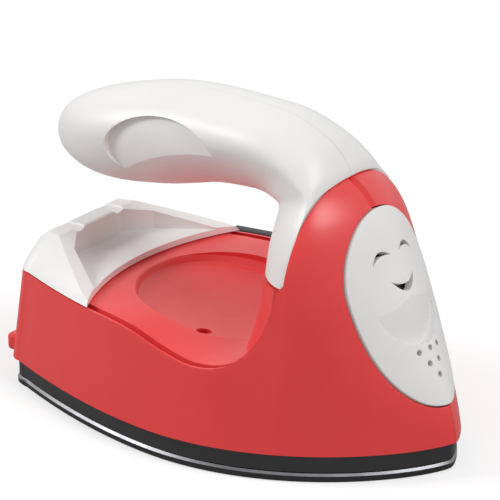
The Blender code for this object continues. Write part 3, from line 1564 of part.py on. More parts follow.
def make_gland():
    wall_out = HEEL_X - SHELL_OVERHANG + HEEL_LEAN_SHARE * (GLAND_HEIGHT - SHELL_LOW)
    outer = -(wall_out - GAP)
    inner = -(wall_out + WALL + GAP)
    profile = (
        (GLAND_BORE_RADIUS, outer + GLAND_FLANGE),
        (GLAND_NECK_RADIUS, outer + GLAND_FLANGE),
        (GLAND_FLANGE_RADIUS, outer + GLAND_FLANGE * HALF),
        (GLAND_FLANGE_RADIUS, outer),
        (GLAND_NECK_RADIUS, outer),
        (GLAND_NECK_RADIUS, inner),
        (GLAND_FLANGE_RADIUS, inner),
        (GLAND_FLANGE_RADIUS, inner - GLAND_FLANGE),
        (GLAND_NECK_RADIUS, inner - GLAND_FLANGE - GLAND_REACH),
        (GLAND_BORE_RADIUS, inner - GLAND_FLANGE - GLAND_REACH),
    )
    gland = turned("cord_gland", profile, finish("black rubber", BLACK, 0.7))
    gland.rotation_euler = (0, -math.pi * HALF, 0)
    gland.location = (0, 0, GLAND_HEIGHT)
    return gland


def make_heel_fittings():
    x = HEEL_X + CLAMP_STATION
    low = SHELF_HEIGHT + GAP
    half = CLAMP_WIDTH * HALF
    reach = CLAMP_HALF_LENGTH
    bar = boxes("bar", [((x - half, -reach, low), (x + half, reach, low + CLAMP_HEIGHT))])
    clamp = part("cord_clamp", bar, finish("clamp nylon", BLACK, 0.5))
    spots = [(x, side * CLAMP_SCREW_SPREAD) for side in (-1, 1)]
    clear = SCREW_RADIUS + SCREW_CLEARANCE
    holes = [((px, py, low - OVERRUN), (px, py, low + OVERRUN), clear) for px, py in spots]
    combine(clamp, helper("clamp holes", bars("clamp holes", holes, SMALL_SIDES)), "DIFFERENCE")
    for i, (px, py) in enumerate(spots):
        seat = (px, py, low + CLAMP_HEIGHT + GAP)
        make_screw(f"clamp_screw_{i + 1}", seat, (0, 0, -1), SHORT_SCREW * HALF)
    x = HEEL_X + TERMINAL_STATION
    half = TERMINAL_WIDTH * HALF
    reach = TERMINAL_HALF_LENGTH
    block = boxes("block", [((x - half, -reach, low), (x + half, reach, low + TERMINAL_HEIGHT))])
    part("terminal_block", block, finish("terminal nylon", (0.8, 0.78, 0.7), 0.5))


# Slide switch


def switch_frame():
    """Follows the left wall: X along the wall, Y out of it, Z up, at the stem's level."""
    x = HEEL_X + SWITCH_STATION
    step = BUTTON_LENGTH * HALF
    rear = side_half_width(x - step, STEM_LEVEL)
    front = side_half_width(x + step, STEM_LEVEL)
    turn = math.atan2(front - rear, BUTTON_LENGTH)
    wall = side_half_width(x, STEM_LEVEL)
    return Matrix.Translation((x, wall, STEM_LEVEL)) @ Matrix.Rotation(turn, 4, "Z")


def make_button():
    frame = switch_frame()
    low = BUTTON_TOP - STEM_LEVEL - BUTTON_HEIGHT
    high = BUTTON_TOP - STEM_LEVEL
    back = GAP + GAP
    lean = WALL_LEAN_SHARE
    half = BUTTON_LENGTH * HALF
    outline = [
        (back - lean * low, low),
        (back - lean * high, high),
        (back - lean * high + BUTTON_PROUD, high),
        (back - lean * low + BUTTON_PROUD, low),
    ]
    points = [(0, y, z) for y, z in outline]
    start = -SWITCH_TRAVEL * HALF
    mesh = prism(points, (start - half, 0, 0), (BUTTON_LENGTH, 0, 0), "button")
    mesh.transform(frame.to_3x3().to_4x4())
    button = part("switch_button", mesh, finish("button slate", SLATE, 0.45))
    button.location = frame.translation
    soften(button, BUTTON_RIB * HALF)
    ribs = []
    for i in range(BUTTON_RIBS):
        x = start + (i - (BUTTON_RIBS - 1) * HALF) * BUTTON_RIB_PITCH - BUTTON_RIB * HALF
        y = back - lean * high + BUTTON_PROUD
        ribs.append(((x, y, low - OVERRUN), (x + BUTTON_RIB, y + OVERRUN, high + OVERRUN)))
    cutter = helper("button grooves", boxes("button grooves", ribs, frame))
    combine(button, cutter, "DIFFERENCE")
    return button


def switch_case_span():
    """Inner and outer faces of the switch case, counted out of the wall."""
    outer = -WALL - CASE_SETBACK - WALL_LEAN_SHARE * CASE_HEIGHT
    return outer - CASE_DEPTH, outer


def make_switch():
    frame = switch_frame()
    inner, outer = switch_case_span()
    half = CASE_LENGTH * HALF
    low = -CASE_DROP
    high = low + CASE_HEIGHT
    case = part(
        "switch_case",
        boxes("case", [((-half, inner, low), (half, outer, high))], frame),
        finish("switch case steel", STEEL, 0.35, 1.0),
    )
    reach = half - CASE_WALL
    room = boxes(
        "room",
        [((-reach, inner + CASE_WALL, low + CASE_WALL), (reach, outer + OVERRUN, high - CASE_WALL))],
        frame,
    )
    combine(case, helper("case room", room), "DIFFERENCE")
    start = -SWITCH_TRAVEL * HALF
    stem_low = inner + CASE_WALL + GAP
    stem = boxes(
        "stem",
        [
            (
                (start - STEM_WIDTH * HALF, stem_low, -STEM_HEIGHT * HALF),
                (start + STEM_WIDTH * HALF, GAP * HALF, STEM_HEIGHT * HALF),
            )
        ],
        Matrix.Rotation(math.atan2(frame[1][0], frame[0][0]), 4, "Z"),
    )
    lever = part("switch_lever", stem, finish("lever nylon", BLACK, 0.5))
    lever.location = frame.translation
    return lever


def add_switch_ledge(shape):
    """A ledge on the left wall under the switch case."""
    inner, outer = switch_case_span()
    half = CASE_LENGTH * HALF
    top = -CASE_DROP - GAP
    add_box(shape, (-half, inner, top - WALL), (half, OVERRUN, top), switch_frame())


def switch_slot():
    start = -SWITCH_TRAVEL * HALF - STEM_WIDTH * HALF - SLOT_CLEARANCE
    end = SWITCH_TRAVEL * HALF + STEM_WIDTH * HALF + SLOT_CLEARANCE
    high = STEM_HEIGHT * HALF + SLOT_CLEARANCE
    low = (start, -WALL - WALL, -high)
    return helper("switch slot", boxes("slot", [(low, (end, OVERRUN, high))], switch_frame()))


# Lead wires


def make_wire(name, points, colour):
    """An insulated wire through (x from the heel, y, z) points."""
    curve = bpy.data.curves.new(name, "CURVE")
    curve.dimensions = "3D"
    curve.bevel_depth = WIRE_RADIUS
    curve.bevel_resolution = 2
    curve.use_fill_caps = True
    line = curve.splines.new("POLY")
    smooth = smooth_route([Vector((HEEL_X + x, y, z)) for x, y, z in points], WIRE_STEPS)
    line.points.add(len(smooth) - 1)
    for spot, point in zip(line.points, smooth):
        spot.co = (*point, 1.0)
    made = bpy.data.objects.new(name, curve)
    bpy.data.collections[PARTS_NAME].objects.link(made)
    curve.materials.append(finish(f"{name} sleeve", colour, 0.5))
    return made


def make_wires():
    for i, (name, points) in enumerate(WIRE_ROUTES.items()):
        make_wire(name, points, WIRE_COLOURS[i % len(WIRE_COLOURS)])


def main():
    clear_scene()
    make_soleplate()
    make_band()
    make_shell(-1, "body_right")
    make_shell(1, "body_left")
    make_deck()
    make_cover()
    make_handle(-1, "handle_right")
    make_handle(1, "handle_left")
    make_plate()
    make_diffuser()
    make_lamp_board()
    make_heater()
    make_thermostat()
    make_fuse()
    make_gland()
    make_heel_fittings()
    make_button()
    make_switch()
    make_deck_screws()
    make_side_screws()
    make_wires()


main()
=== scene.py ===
import json
import math

import bmesh
import bpy
from mathutils import Matrix, Vector

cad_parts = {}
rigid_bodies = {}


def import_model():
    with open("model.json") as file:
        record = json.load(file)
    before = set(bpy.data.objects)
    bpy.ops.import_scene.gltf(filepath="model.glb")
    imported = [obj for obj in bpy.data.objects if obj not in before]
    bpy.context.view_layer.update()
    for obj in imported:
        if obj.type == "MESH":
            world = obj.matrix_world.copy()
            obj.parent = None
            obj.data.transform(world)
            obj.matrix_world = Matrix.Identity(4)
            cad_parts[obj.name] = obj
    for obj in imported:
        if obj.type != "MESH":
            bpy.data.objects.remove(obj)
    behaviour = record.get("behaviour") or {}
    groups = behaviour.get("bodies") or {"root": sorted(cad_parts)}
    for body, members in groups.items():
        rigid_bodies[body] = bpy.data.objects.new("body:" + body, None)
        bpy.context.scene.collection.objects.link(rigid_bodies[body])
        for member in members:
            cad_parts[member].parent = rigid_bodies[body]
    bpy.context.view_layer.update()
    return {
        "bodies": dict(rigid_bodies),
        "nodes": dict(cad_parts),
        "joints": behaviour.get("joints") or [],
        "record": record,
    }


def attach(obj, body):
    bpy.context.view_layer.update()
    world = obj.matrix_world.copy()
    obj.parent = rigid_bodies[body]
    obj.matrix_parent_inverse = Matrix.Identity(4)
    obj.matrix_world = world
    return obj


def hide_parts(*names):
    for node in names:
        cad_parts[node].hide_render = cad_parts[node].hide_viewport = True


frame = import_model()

bl_info = {
    "name": "Mini heat press",
    "version": (1, 0, 0),
    "blender": (4, 5, 0),
    "location": "3D View > Sidebar > Heat press",
    "description": "Builds the outer pieces and finishes of a mini handheld heat press",
    "category": "Object",
}

# Lengths in metres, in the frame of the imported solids

GAP = 0.0003
OVERRUN = 0.004
WALL = 0.0020
HALF = 0.5
ROUND_SIDES = 40
SMALL_SIDES = 28
ARC_SIDES = 192
DIGITS = 8
WELD_REACH = 0.000005
SOLE_LENGTH = 0.1030
SOLE_HALF_WIDTH = 0.0337
HEEL_HALF_WIDTH = 0.0221
WIDEST_SHARE = 0.48
REAR_PLAN_POWER = 1.75
NOSE_PLAN_POWER = 0.75
FRONT_POWER = 1.6
HEEL_STEPS = 8
SIDE_STEPS = 30
HEEL_CORNER = 0.0040
CORNER_LIMIT_SHARE = 0.8
SOLE_THICKNESS = 0.0020
SOLE_EDGE = 0.0005
BED_HEIGHT = 0.0026
BED_MARGIN = 0.0075
BAND_HEIGHT = 0.0038
BAND_WIDTH = 0.0060
BAND_SETBACK = 0.0003
SHELL_OVERHANG = 0.0008
WALL_LEAN_SHARE = 0.195
HEEL_LEAN_SHARE = 0.02
SEAM_HEIGHT = 0.0264
HOOD_HEIGHT = 0.0603
HOOD_LENGTH = 0.0289
ARCH_START = 0.0420
ARCH_POWER = 2.4
CROWN_SHARE = 0.997
HOOD_BLEND_START_SHARE = 0.04
HOOD_BLEND_END_SHARE = 0.62
HALF_SEAM = 0.00006
PEG_REACH = 0.0027
PEG_WIDTH = 0.0040
PEG_HEIGHT = 0.0040
PEG_RISE = 0.0004
PEG_ROUND = 0.0008
PEG_SPREAD = 0.0196
LEDGE_WIDTH = 0.0006
GROOVE_WIDTH = 0.0020
GROOVE_DEPTH = 0.0011
GROOVE_STEPS = 16
HOOD_FRONT_SHARES = (
    (0.0, 1.0),
    (0.06, 0.98),
    (0.17, 0.92),
    (0.34, 0.775),
    (0.52, 0.613),
    (0.70, 0.452),
    (0.86, 0.306),
    (0.94, 0.185),
    (0.98, 0.085),
    (1.0, 0.02),
)
FORM_LEVEL_SHARES = (
    0.0, 0.06, 0.17, 0.26, 0.34, 0.43, 0.52, 0.61, 0.70, 0.78, 0.86, 0.91, 0.95, 0.98, 0.995,
)
FRONT_STATION_SHARES = (0.12, 0.25, 0.38, 0.51, 0.63, 0.74, 0.84, 0.92, 0.975, 1.0)
EDGE_SHARES = (
    (0.35, 1.0),
    (0.46, 0.998),
    (0.55, 0.977),
    (0.65, 0.915),
    (0.738, 0.862),
    (0.79, 0.853),
    (0.835, 0.868),
    (0.877, 0.91),
    (0.917, 1.0),
    (0.948, 1.115),
    (0.968, 1.25),
    (0.98, 1.38),
    (0.987, 1.54),
)
CURVE_STEPS = 7
DECK_THICKNESS = 0.0022
DECK_REAR = 0.0150
DISH_CENTRE = 0.0430
DISH_LENGTH = 0.0410
DISH_WIDTH = 0.0390
DISH_TILT = math.radians(5.5)
DISH_STEP = 0.0013
DISH_DEPTH = 0.0036
DISH_WALL = 0.0016
DISH_RING_SHARES = ((1.0, 0.0), (0.985, 0.07), (0.955, 1.0))
DISH_FLOOR_SHARES = ((0.92, 0.12), (0.74, 0.45), (0.48, 0.80), (0.22, 0.97))
DISH_SIDES = 96
NECK_SIDES = 40
NECK_LEVELS = 18
NECK_DEPTH = 0.0130
NECK_FLARE = 0.0060
NECK_HOLLOW = 0.0086
NECK_SEAM = 0.0406
NECK_FOOT = 0.0190
WELL_STATION = 0.0471
WELL_SPREAD = 0.0132
WELL_HOLE_RADIUS = 0.0017
WELL_RADIUS = 0.0031
WELL_FLOOR = 0.0015
COVER_TIP = 0.0262
COVER_ARC_RADIUS = 0.0570
COVER_WALL = 0.0015
COVER_FLOOR = 0.0014
HOLLOW_MARGIN = 0.0070
COVER_KERB = 0.0008
COVER_HIP_SHARE = 1.22
COVER_HEEL_LEAN_SHARE = 0.09
COVER_ROUND = 0.0009
COVER_LEVELS = 6
COVER_CREASE = math.radians(24)
COVER_HEIGHT = 0.0073
COVER_PROFILE_SHARES = (
    (-0.115, 0.63),
    (0.011, 0.71),
    (0.099, 0.973),
    (0.252, 1.0),
    (1.038, 0.082),
)
NOTCH_REAR = 0.0072
NOTCH_REAR_HALF_WIDTH = 0.0078
NOTCH_MIDDLE = 0.0115
NOTCH_MIDDLE_HALF_WIDTH = 0.0140
NOTCH_FRONT_HALF_WIDTH = 0.0262
SADDLE_SPREAD = 0.0068
SADDLE_RADIUS = 0.0022
SADDLE_RISE = 0.0086
TAB_SPREAD = 0.0110
TAB_WIDTH = 0.0060
TAB_THICKNESS = 0.0012
TAB_DEPTH = 0.0040
HANDLE_RISE = 0.0113
HANDLE_HALF_WIDTH = 0.0132
HANDLE_WALL = 0.0024
HANDLE_STATION_SHARES = (
    (0.818, 0.570, 1.0135, 0.570, 1.620, 1.0),
    (0.818, 0.636, 1.016, 0.656, 1.490, 1.0),
    (0.823, 0.691, 1.020, 0.740, 1.290, 0.97),
    (0.817, 0.726, 1.026, 0.817, 1.030, 0.85),
    (0.776, 0.731, 1.012, 0.873, 0.955, 0.75),
    (0.715, 0.727, 0.951, 0.933, 0.909, 0.70),
    (0.641, 0.721, 0.823, 0.986, 0.909, 0.66),
    (0.567, 0.712, 0.661, 0.9986, 0.932, 0.62),
    (0.486, 0.690, 0.513, 1.000, 0.970, 0.60),
    (0.391, 0.667, 0.371, 0.986, 1.000, 0.58),
    (0.259, 0.653, 0.216, 0.948, 0.985, 0.55),
    (0.144, 0.655, 0.108, 0.911, 0.850, 0.52),
    (0.047, 0.684, 0.027, 0.866, 0.590, 0.50),
    (0.003, 0.721, -0.008, 0.823, 0.330, 0.50),
)
HANDLE_END_SHARES = (-0.0215, 0.770)
GRIP_POWER = 2.15
GRIP_STEPS = 34
NECK_WIDEST_SHARE = 0.95
INNER_STEPS = 12
DENT_STATION = 0.0341
DENT_HEIGHT = 0.0596
DENT_HALF_LENGTH = 0.0142
DENT_HALF_HEIGHT = 0.0077
DENT_TILT = math.radians(-6)
DENT_DEPTH = 0.0013
DENT_CORE_LENGTH = 0.0600
DENT_CORE_HEIGHT = 0.0140
DENT_SIDES = 90
LIP_WIDTH = 0.0015
LIP_REACH = 0.0030
UNDER_POWER_SHARES = ((0.25, 2.05), (0.45, 1.6), (0.70, 1.5), (0.82, 2.0))
PLATE_SINK = 0.00097
PLATE_CENTRE_HEIGHT = 0.0339
PLATE_TILT = math.radians(25.9)
PLATE_TOP = 0.0160
PLATE_BOTTOM = 0.0280
PLATE_HALF_WIDTH = 0.0140
PLATE_WIDEST = 0.0065
PLATE_PROUD = 0.0004
PLATE_THICKNESS = 0.0020
PLATE_DEPTH = 0.0180
WINDOW_DEPTH = 0.0075
PLATE_SIDES = 120
EYE_SPREAD = 0.0043
EYE_HEIGHT = 0.0120
EYE_HALF_WIDTH = 0.0028
EYE_RISE = 0.0019
EYE_SLOT = 0.0010
EYE_TILT = math.radians(10)
MOUTH_HEIGHT = 0.0072
MOUTH_HALF_WIDTH = 0.0040
MOUTH_DROP = 0.0032
MOUTH_SLOT = 0.0017
VENT_RADIUS = 0.00065
VENT_PITCH = 0.0033
VENT_ROW_PITCH = 0.0030
VENT_TOP = 0.0089
CRESCENT_STEPS = 20
VENT_ROWS = (3, 2, 1)
VENT_SIDES = 28
SCOOP_CENTRE = 0.0040
SCOOP_HALF_LENGTH = 0.0117
SCOOP_HALF_WIDTH = 0.0100
SCOOP_CREST = 0.0020
SCOOP_CREST_RISE = 0.0011
SCOOP_SLOPE = math.radians(11)
SCOOP_LONG_RADIUS = 0.0880
SCOOP_CROSS_RADIUS = 0.0190
SCOOP_RING_SHARES = (0.08, 0.2, 0.32, 0.45, 0.58, 0.7, 0.8, 0.88, 0.95, 1.0)
SCOOP_SIDES = 96
SCOOP_WALL = 0.0015
BOARD_DEPTH = 0.0105
BOARD_LENGTH = 0.0120
BOARD_HALF_WIDTH = 0.0070
RAIL_HEIGHT = 0.0040
HEATER_START = 0.0140
HEATER_LENGTH = 0.0440
HEATER_THICKNESS = 0.0012
BOSS_RADIUS = 0.0024
BOSS_HEIGHT = 0.0044
THERMOSTAT_STATION = 0.0830
THERMOSTAT_CAP_HEIGHT = 0.0022
BRACKET_SCREW_SPREAD = 0.0092
GLAND_HEIGHT = 0.0190
GLAND_NECK_RADIUS = 0.0040
GLAND_FLANGE_RADIUS = 0.0056
GLAND_FLANGE = 0.0016
GLAND_BORE_RADIUS = 0.0025
GLAND_REACH = 0.0030
SHELF_HEIGHT = 0.0108
SHELF_THICKNESS = 0.0015
SHELF_LENGTH = 0.0210
SHELF_HALF_WIDTH = 0.0160
SWITCH_STATION = 0.0320
SWITCH_TRAVEL = 0.0040
BUTTON_LENGTH = 0.0130
BUTTON_HEIGHT = 0.0056
BUTTON_PROUD = 0.0025
BUTTON_TOP = 0.0266
BUTTON_RIBS = 3
BUTTON_RIB = 0.0010
BUTTON_RIB_PITCH = 0.0030
STEM_HEIGHT = 0.0012
STEM_WIDTH = 0.0024
STEM_LEVEL = 0.0222
SLOT_CLEARANCE = 0.0004
CASE_LENGTH = 0.0120
CASE_DEPTH = 0.0052
CASE_HEIGHT = 0.0052
CASE_SETBACK = 0.0004
CASE_DROP = 0.0040
BODY_SCREW_SHARES = ((0.20, 0.777), (0.83, 0.561), (1.215, 0.5))
HANDLE_SCREW_SHARES = ((0.085, 0.775), (0.640, 0.860), (0.900, 0.745))
SCREW_RADIUS = 0.0008
SCREW_HEAD_RADIUS = 0.0015
SCREW_CLEARANCE = 0.0002
POST_RADIUS = 0.0026
SCREW_GRIP = 0.0050
TOTAL_LENGTH = SOLE_LENGTH + SHELL_OVERHANG + PEG_REACH
REAR_X = -TOTAL_LENGTH * HALF
HEEL_X = REAR_X + PEG_REACH
NOSE_X = HEEL_X + SOLE_LENGTH
WIDEST_X = HEEL_X + SOLE_LENGTH * WIDEST_SHARE
HOOD_REAR = SOLE_LENGTH - HOOD_LENGTH
HOOD_X = HEEL_X + HOOD_REAR
BED_TOP = SOLE_THICKNESS + BED_HEIGHT
BAND_LOW = SOLE_THICKNESS + GAP
SHELL_LOW = BAND_LOW + BAND_HEIGHT + GAP
HOOD_RISE = HOOD_HEIGHT - SHELL_LOW
HANDLE_HEIGHT = HOOD_HEIGHT + HANDLE_RISE
HOOD_REACH = NOSE_X + SHELL_OVERHANG - HOOD_X
SIDE_REACH = SOLE_HALF_WIDTH + SHELL_OVERHANG + OVERRUN

# Finer steps of the visible surfaces

LEVEL_STEPS = 3
FRONT_STEPS = 3
DISH_STEPS = 4
END_SHARES = (0.3, 0.55, 0.74, 0.88, 0.96, 0.99)
END_TILT = math.radians(45)
CREASE = math.radians(38)
SOFT_ANGLE = math.radians(40)
EDGE_SEGMENTS = 2
TURN_WELD = 0.00001
CORE_SIDES = 192
CORE_LEVELS = 96
CUTTERS = "cutters"
PIECES = "heat press pieces"


# Meshes, and the steps that cut, join and round them


def add_object(name, mesh, group):
    """A new object in one of the scene's collections."""
    if group not in bpy.data.collections:
        made = bpy.data.collections.new(group)
        bpy.context.scene.collection.children.link(made)
    made = bpy.data.objects.new(name, mesh)
    bpy.data.collections[group].objects.link(made)
    return made


def start_piece(name, mesh):
    """A piece of the object before its openings are cut."""
    return add_object(f"{name}.fine", mesh, PIECES)


def refined(shares, steps):
    """A rising list of shares with more of them in between."""
    fine = []
    for low, high in zip(shares, shares[1:]):
        fine += [between(low, high, i / steps) for i in range(steps)]
    return [*fine, shares[-1]]


def slopes(line):
    """Slopes at the points of a (value, result) table that keep a curve through it in bounds."""
    steps = [(b[1] - a[1]) / (b[0] - a[0]) for a, b in zip(line, line[1:])]
    inner = [2 * a * b / (a + b) if a * b > 0 else 0.0 for a, b in zip(steps, steps[1:])]
    return [steps[0], *inner, steps[-1]]


def read_line(line, value):
    """Smooth reading of a table of (value, result) pairs."""
    value = min(max(value, line[0][0]), line[-1][0])
    tilts = slopes(line)
    for i, ((low, first), (high, second)) in enumerate(zip(line, line[1:])):
        if value <= high:
            run = high - low
            t = (value - low) / run
            rise = first * (1 + 2 * t) * (1 - t) ** 2 + second * t * t * (3 - 2 * t)
            lean = tilts[i] * t * (1 - t) ** 2 - tilts[i + 1] * t * t * (1 - t)
            return rise + lean * run
    return line[-1][1]


def round_end(section, tip):
    """Sections that close the handle's end as a round nose."""
    middle = sum((Vector(point) for point in section), Vector()) / len(section)
    middle.y = 0.0
    rings = []
    for share in END_SHARES:
        centre = middle.lerp(tip, share)
        rise = math.cos(END_TILT) + share * (1 - math.cos(END_TILT))
        shrink = math.sqrt(1 - rise * rise) / math.sin(END_TILT)
        rings.append([tuple(centre + (Vector(point) - middle) * shrink) for point in section])
    return rings


def dish_floor():
    """The dish's floor as many rings along a smooth curve."""
    line = [Vector(pair) for pair in (DISH_RING_SHARES[-1][:1] + (0.0,), *DISH_FLOOR_SHARES)]
    return [tuple(pair) for pair in smooth_route(line, DISH_STEPS)[1:]]


def mesh_from(shape, name):
    """A mesh from a bmesh, with its faces turned outwards."""
    bmesh.ops.recalc_face_normals(shape, faces=shape.faces)
    mesh = bpy.data.meshes.new(name)
    shape.to_mesh(mesh)
    shape.free()
    return mesh


def loft(rings, name):
    """A closed solid through rings of equal point counts, with flat ends."""
    shape = bmesh.new()
    loops = [[shape.verts.new([round(c, DIGITS) for c in p]) for p in ring] for ring in rings]
    for low, high in zip(loops, loops[1:]):
        for i, vertex in enumerate(low):
            before = i - 1
            shape.faces.new((low[before], vertex, high[i], high[before]))
    shape.faces.new(loops[0])
    shape.faces.new(loops[-1])
    bmesh.ops.triangulate(shape, faces=shape.faces)
    return mesh_from(shape, name)


def prism(outline, start, along, name):
    """A solid with the given outline, a list of points, moved from start by along."""
    shape = bmesh.new()
    base = shape.faces.new([shape.verts.new(Vector(point) + Vector(start)) for point in outline])
    moved = bmesh.ops.extrude_face_region(shape, geom=[base])["geom"]
    bmesh.ops.translate(
        shape, verts=[v for v in moved if isinstance(v, bmesh.types.BMVert)], vec=Vector(along)
    )
    return mesh_from(shape, name)


def add_box(shape, low, high, turn=None):
    """Adds a box between two corners to a bmesh, turned in its own frame by a matrix."""
    size = Vector(high) - Vector(low)
    centre = (Vector(high) + Vector(low)) * HALF
    place = (turn or Matrix()) @ Matrix.Translation(centre) @ Matrix.Diagonal((*size, 1.0))
    bmesh.ops.create_cube(shape, size=1.0, matrix=place)


def add_cylinder(shape, start, end, radius, sides=ROUND_SIDES):
    """Adds a round bar from start to end to a bmesh."""
    start, end = Vector(start), Vector(end)
    span = end - start
    turn = span.to_track_quat("Z", "Y").to_matrix().to_4x4()
    bmesh.ops.create_cone(
        shape,
        cap_ends=True,
        segments=sides,
        radius1=radius,
        radius2=radius,
        depth=span.length,
        matrix=Matrix.Translation((start + end) * HALF) @ turn,
    )


def boxes(name, corners, turn=None):
    shape = bmesh.new()
    for low, high in corners:
        add_box(shape, low, high, turn)
    return mesh_from(shape, name)


def bars(name, places, sides=ROUND_SIDES):
    shape = bmesh.new()
    for start, end, radius in places:
        add_cylinder(shape, start, end, radius, sides)
    return mesh_from(shape, name)


def combine(target, other, operation):
    """Adds a Boolean step with a mesh, or with an object that has steps of its own."""
    if isinstance(other, bpy.types.Mesh):
        other = helper(other)
    step = target.modifiers.new(f"{operation.lower()} {other.name}", "BOOLEAN")
    step.operation = operation
    step.object = other
    step.solver = "EXACT"
    weld = target.modifiers.new(f"weld after {other.name}", "WELD")
    weld.merge_threshold = WELD_REACH


def cut(target, other):
    combine(target, other, "DIFFERENCE")


def join(target, other):
    combine(target, other, "UNION")


def keep(target, other):
    """Leaves only what lies inside the other shape."""
    combine(target, other, "INTERSECT")


def place(mesh, frame):
    """Moves a mesh into a frame and keeps its faces turned outwards."""
    mesh.transform(frame)
    if frame.determinant() < 0:
        mesh.flip_normals()
    return mesh


def helper(mesh):
    """An object that only cuts or joins."""
    return add_object(mesh.name, mesh, CUTTERS)


def round_edges(target, width, angle):
    step = target.modifiers.new("rounded edges", "BEVEL")
    step.width = width
    step.segments = EDGE_SEGMENTS
    step.limit_method = "ANGLE"
    step.angle_limit = angle
    return step


def soften(target, width, angle=SOFT_ANGLE):
    round_edges(target, width, angle)
    target.modifiers.new("flat faces", "TRIANGULATE")


def between(low, high, share):
    return low + (high - low) * share


def eased(share):
    share = min(max(share, 0.0), 1.0)
    return share * share * (3 - 2 * share)


def smooth_route(points, steps):
    """Points along a smooth curve through the given ones."""
    route = []
    for i in range(len(points) - 1):
        before = points[max(i - 1, 0)]
        start, end = points[i], points[i + 1]
        after = points[min(i + 2, len(points) - 1)]
        for step in range(steps):
            t = step / steps
            first = (end - before) * t
            second = (before * 2 - start * 5 + end * 4 - after) * t * t
            third = (start * 3 - before - end * 3 + after) * t**3
            route.append((start * 2 + first + second + third) * HALF)
    route.append(points[-1])
    return route


def round_steps(sides):
    """Cosine and sine at even steps right round."""
    angles = [math.tau * i / sides for i in range(sides)]
    return [(math.cos(angle), math.sin(angle)) for angle in angles]


# The outer form of body and hood


def plan_half_width(x):
    """Half-width of the soleplate at a station."""
    if x < WIDEST_X:
        share = (WIDEST_X - x) / (WIDEST_X - HEEL_X)
        return between(SOLE_HALF_WIDTH, HEEL_HALF_WIDTH, share**REAR_PLAN_POWER)
    share = min((x - WIDEST_X) / (NOSE_X - WIDEST_X), 1.0)
    return SOLE_HALF_WIDTH * (1 - share * share) ** NOSE_PLAN_POWER


def arch_share(z):
    """How far the hood's arch has drawn in at a height, 1 where it hasn't."""
    if z <= ARCH_START:
        return 1.0
    share = min((z - ARCH_START) / (HOOD_HEIGHT - ARCH_START), 1.0)
    return (1 - share**ARCH_POWER) ** (1 / ARCH_POWER)


def side_half_width(x, z):
    """Half-width of the body's outer form behind the hood's rear plane."""
    lean = WALL_LEAN_SHARE * (z - SHELL_LOW)
    return (plan_half_width(x) + SHELL_OVERHANG - lean) * arch_share(z)


def hood_front_x(z):
    share = (z - SHELL_LOW) / HOOD_RISE
    return HOOD_X + HOOD_REACH * read_line(HOOD_FRONT_SHARES, share)


def form_half(z, inset):
    """Half of the form's level section at a height, heel to nose, moved in by inset."""
    rise = (z - SEAM_HEIGHT) / (HOOD_HEIGHT - inset - SEAM_HEIGHT)
    z_read = min(max(z + inset * eased(rise), SHELL_LOW), HOOD_HEIGHT * CROWN_SHARE)
    heel = HEEL_X - SHELL_OVERHANG + HEEL_LEAN_SHARE * (z_read - SHELL_LOW) + inset
    corner_x = heel + HEEL_CORNER
    corner_y = max(side_half_width(corner_x, z_read) - inset, GAP)
    corner = min(HEEL_CORNER, corner_y * CORNER_LIMIT_SHARE)
    points = []
    for i in range(HEEL_STEPS + 1):
        angle = math.pi * HALF * i / HEEL_STEPS
        points.append(
            (corner_x - corner * math.cos(angle), corner_y - corner * (1 - math.sin(angle)))
        )
    for i in range(1, SIDE_STEPS + 1):
        x = between(corner_x, HOOD_X, i / SIDE_STEPS)
        points.append((x, max(side_half_width(x, z_read) - inset, GAP)))
    arch = points[-1][1]
    front = max(hood_front_x(z_read) - inset, HOOD_X + GAP)
    start = SHELL_LOW + HOOD_RISE * HOOD_BLEND_START_SHARE
    end = SHELL_LOW + HOOD_RISE * HOOD_BLEND_END_SHARE
    blend = eased((z_read - start) / (end - start))
    for share in refined((0.0, *FRONT_STATION_SHARES), FRONT_STEPS)[1:]:
        x = between(HOOD_X, front, share)
        low = plan_half_width(between(HOOD_X, NOSE_X, share)) / plan_half_width(HOOD_X)
        high = (1 - share**FRONT_POWER) ** (1 / FRONT_POWER)
        points.append((x, arch * between(low, high, blend)))
    return points


def form_ring(z, inset):
    half = form_half(z, inset)
    right = [(x, -y, z) for x, y in half]
    left = [(x, y, z) for x, y in reversed(half[:-1])]
    return right + left


def form_half_ring(z, inset, side):
    """One side of the form's level section, closed along the parting plane."""
    half = form_half(z, inset)
    inner = HALF_SEAM * HALF
    points = [(x, side * max(y, inner), z) for x, y in half]
    return [(half[0][0], side * inner, z), *points]


def form(inset, low=None, name="form", side=0):
    """The outer form of body and hood, moved in by inset, down to a height; one side or both."""
    levels = refined(FORM_LEVEL_SHARES, LEVEL_STEPS)
    heights = [SHELL_LOW + HOOD_RISE * share for share in levels]
    top = heights[-1] - inset
    heights = [min(z, top) for z in heights]
    while len(heights) > 2 and heights[-2] > top - GAP:
        heights.pop(-2)
    rings = [form_ring(z, inset) if not side else form_half_ring(z, inset, side) for z in heights]
    if low is not None:
        rings.insert(0, [(x, y, low) for x, y, _ in rings[0]])
    return loft(rings, name)


def edge_line():
    """The body's upper edge from the side, tip of the cover to the hood's rear edge."""
    line = [Vector((HEEL_X + HOOD_REAR * x, SEAM_HEIGHT * z)) for x, z in EDGE_SHARES]
    return [tuple(point) for point in smooth_route(line, CURVE_STEPS)]


def shifted_line(line, distance):
    """A line of (x, z) points moved to its right-hand side by a distance."""
    moved = []
    for i, (x, z) in enumerate(line):
        before = Vector(line[max(i - 1, 0)])
        after = Vector(line[min(i + 1, len(line) - 1)])
        run = (after - before).normalized()
        moved.append((x + run.y * distance, z - run.x * distance))
    return moved


def across(outline, name):
    """A prism of an (x, z) outline right across the part."""
    points = [(x, 0, z) for x, z in outline]
    return prism(points, (0, -SIDE_REACH, 0), (0, SIDE_REACH * 2, 0), name)


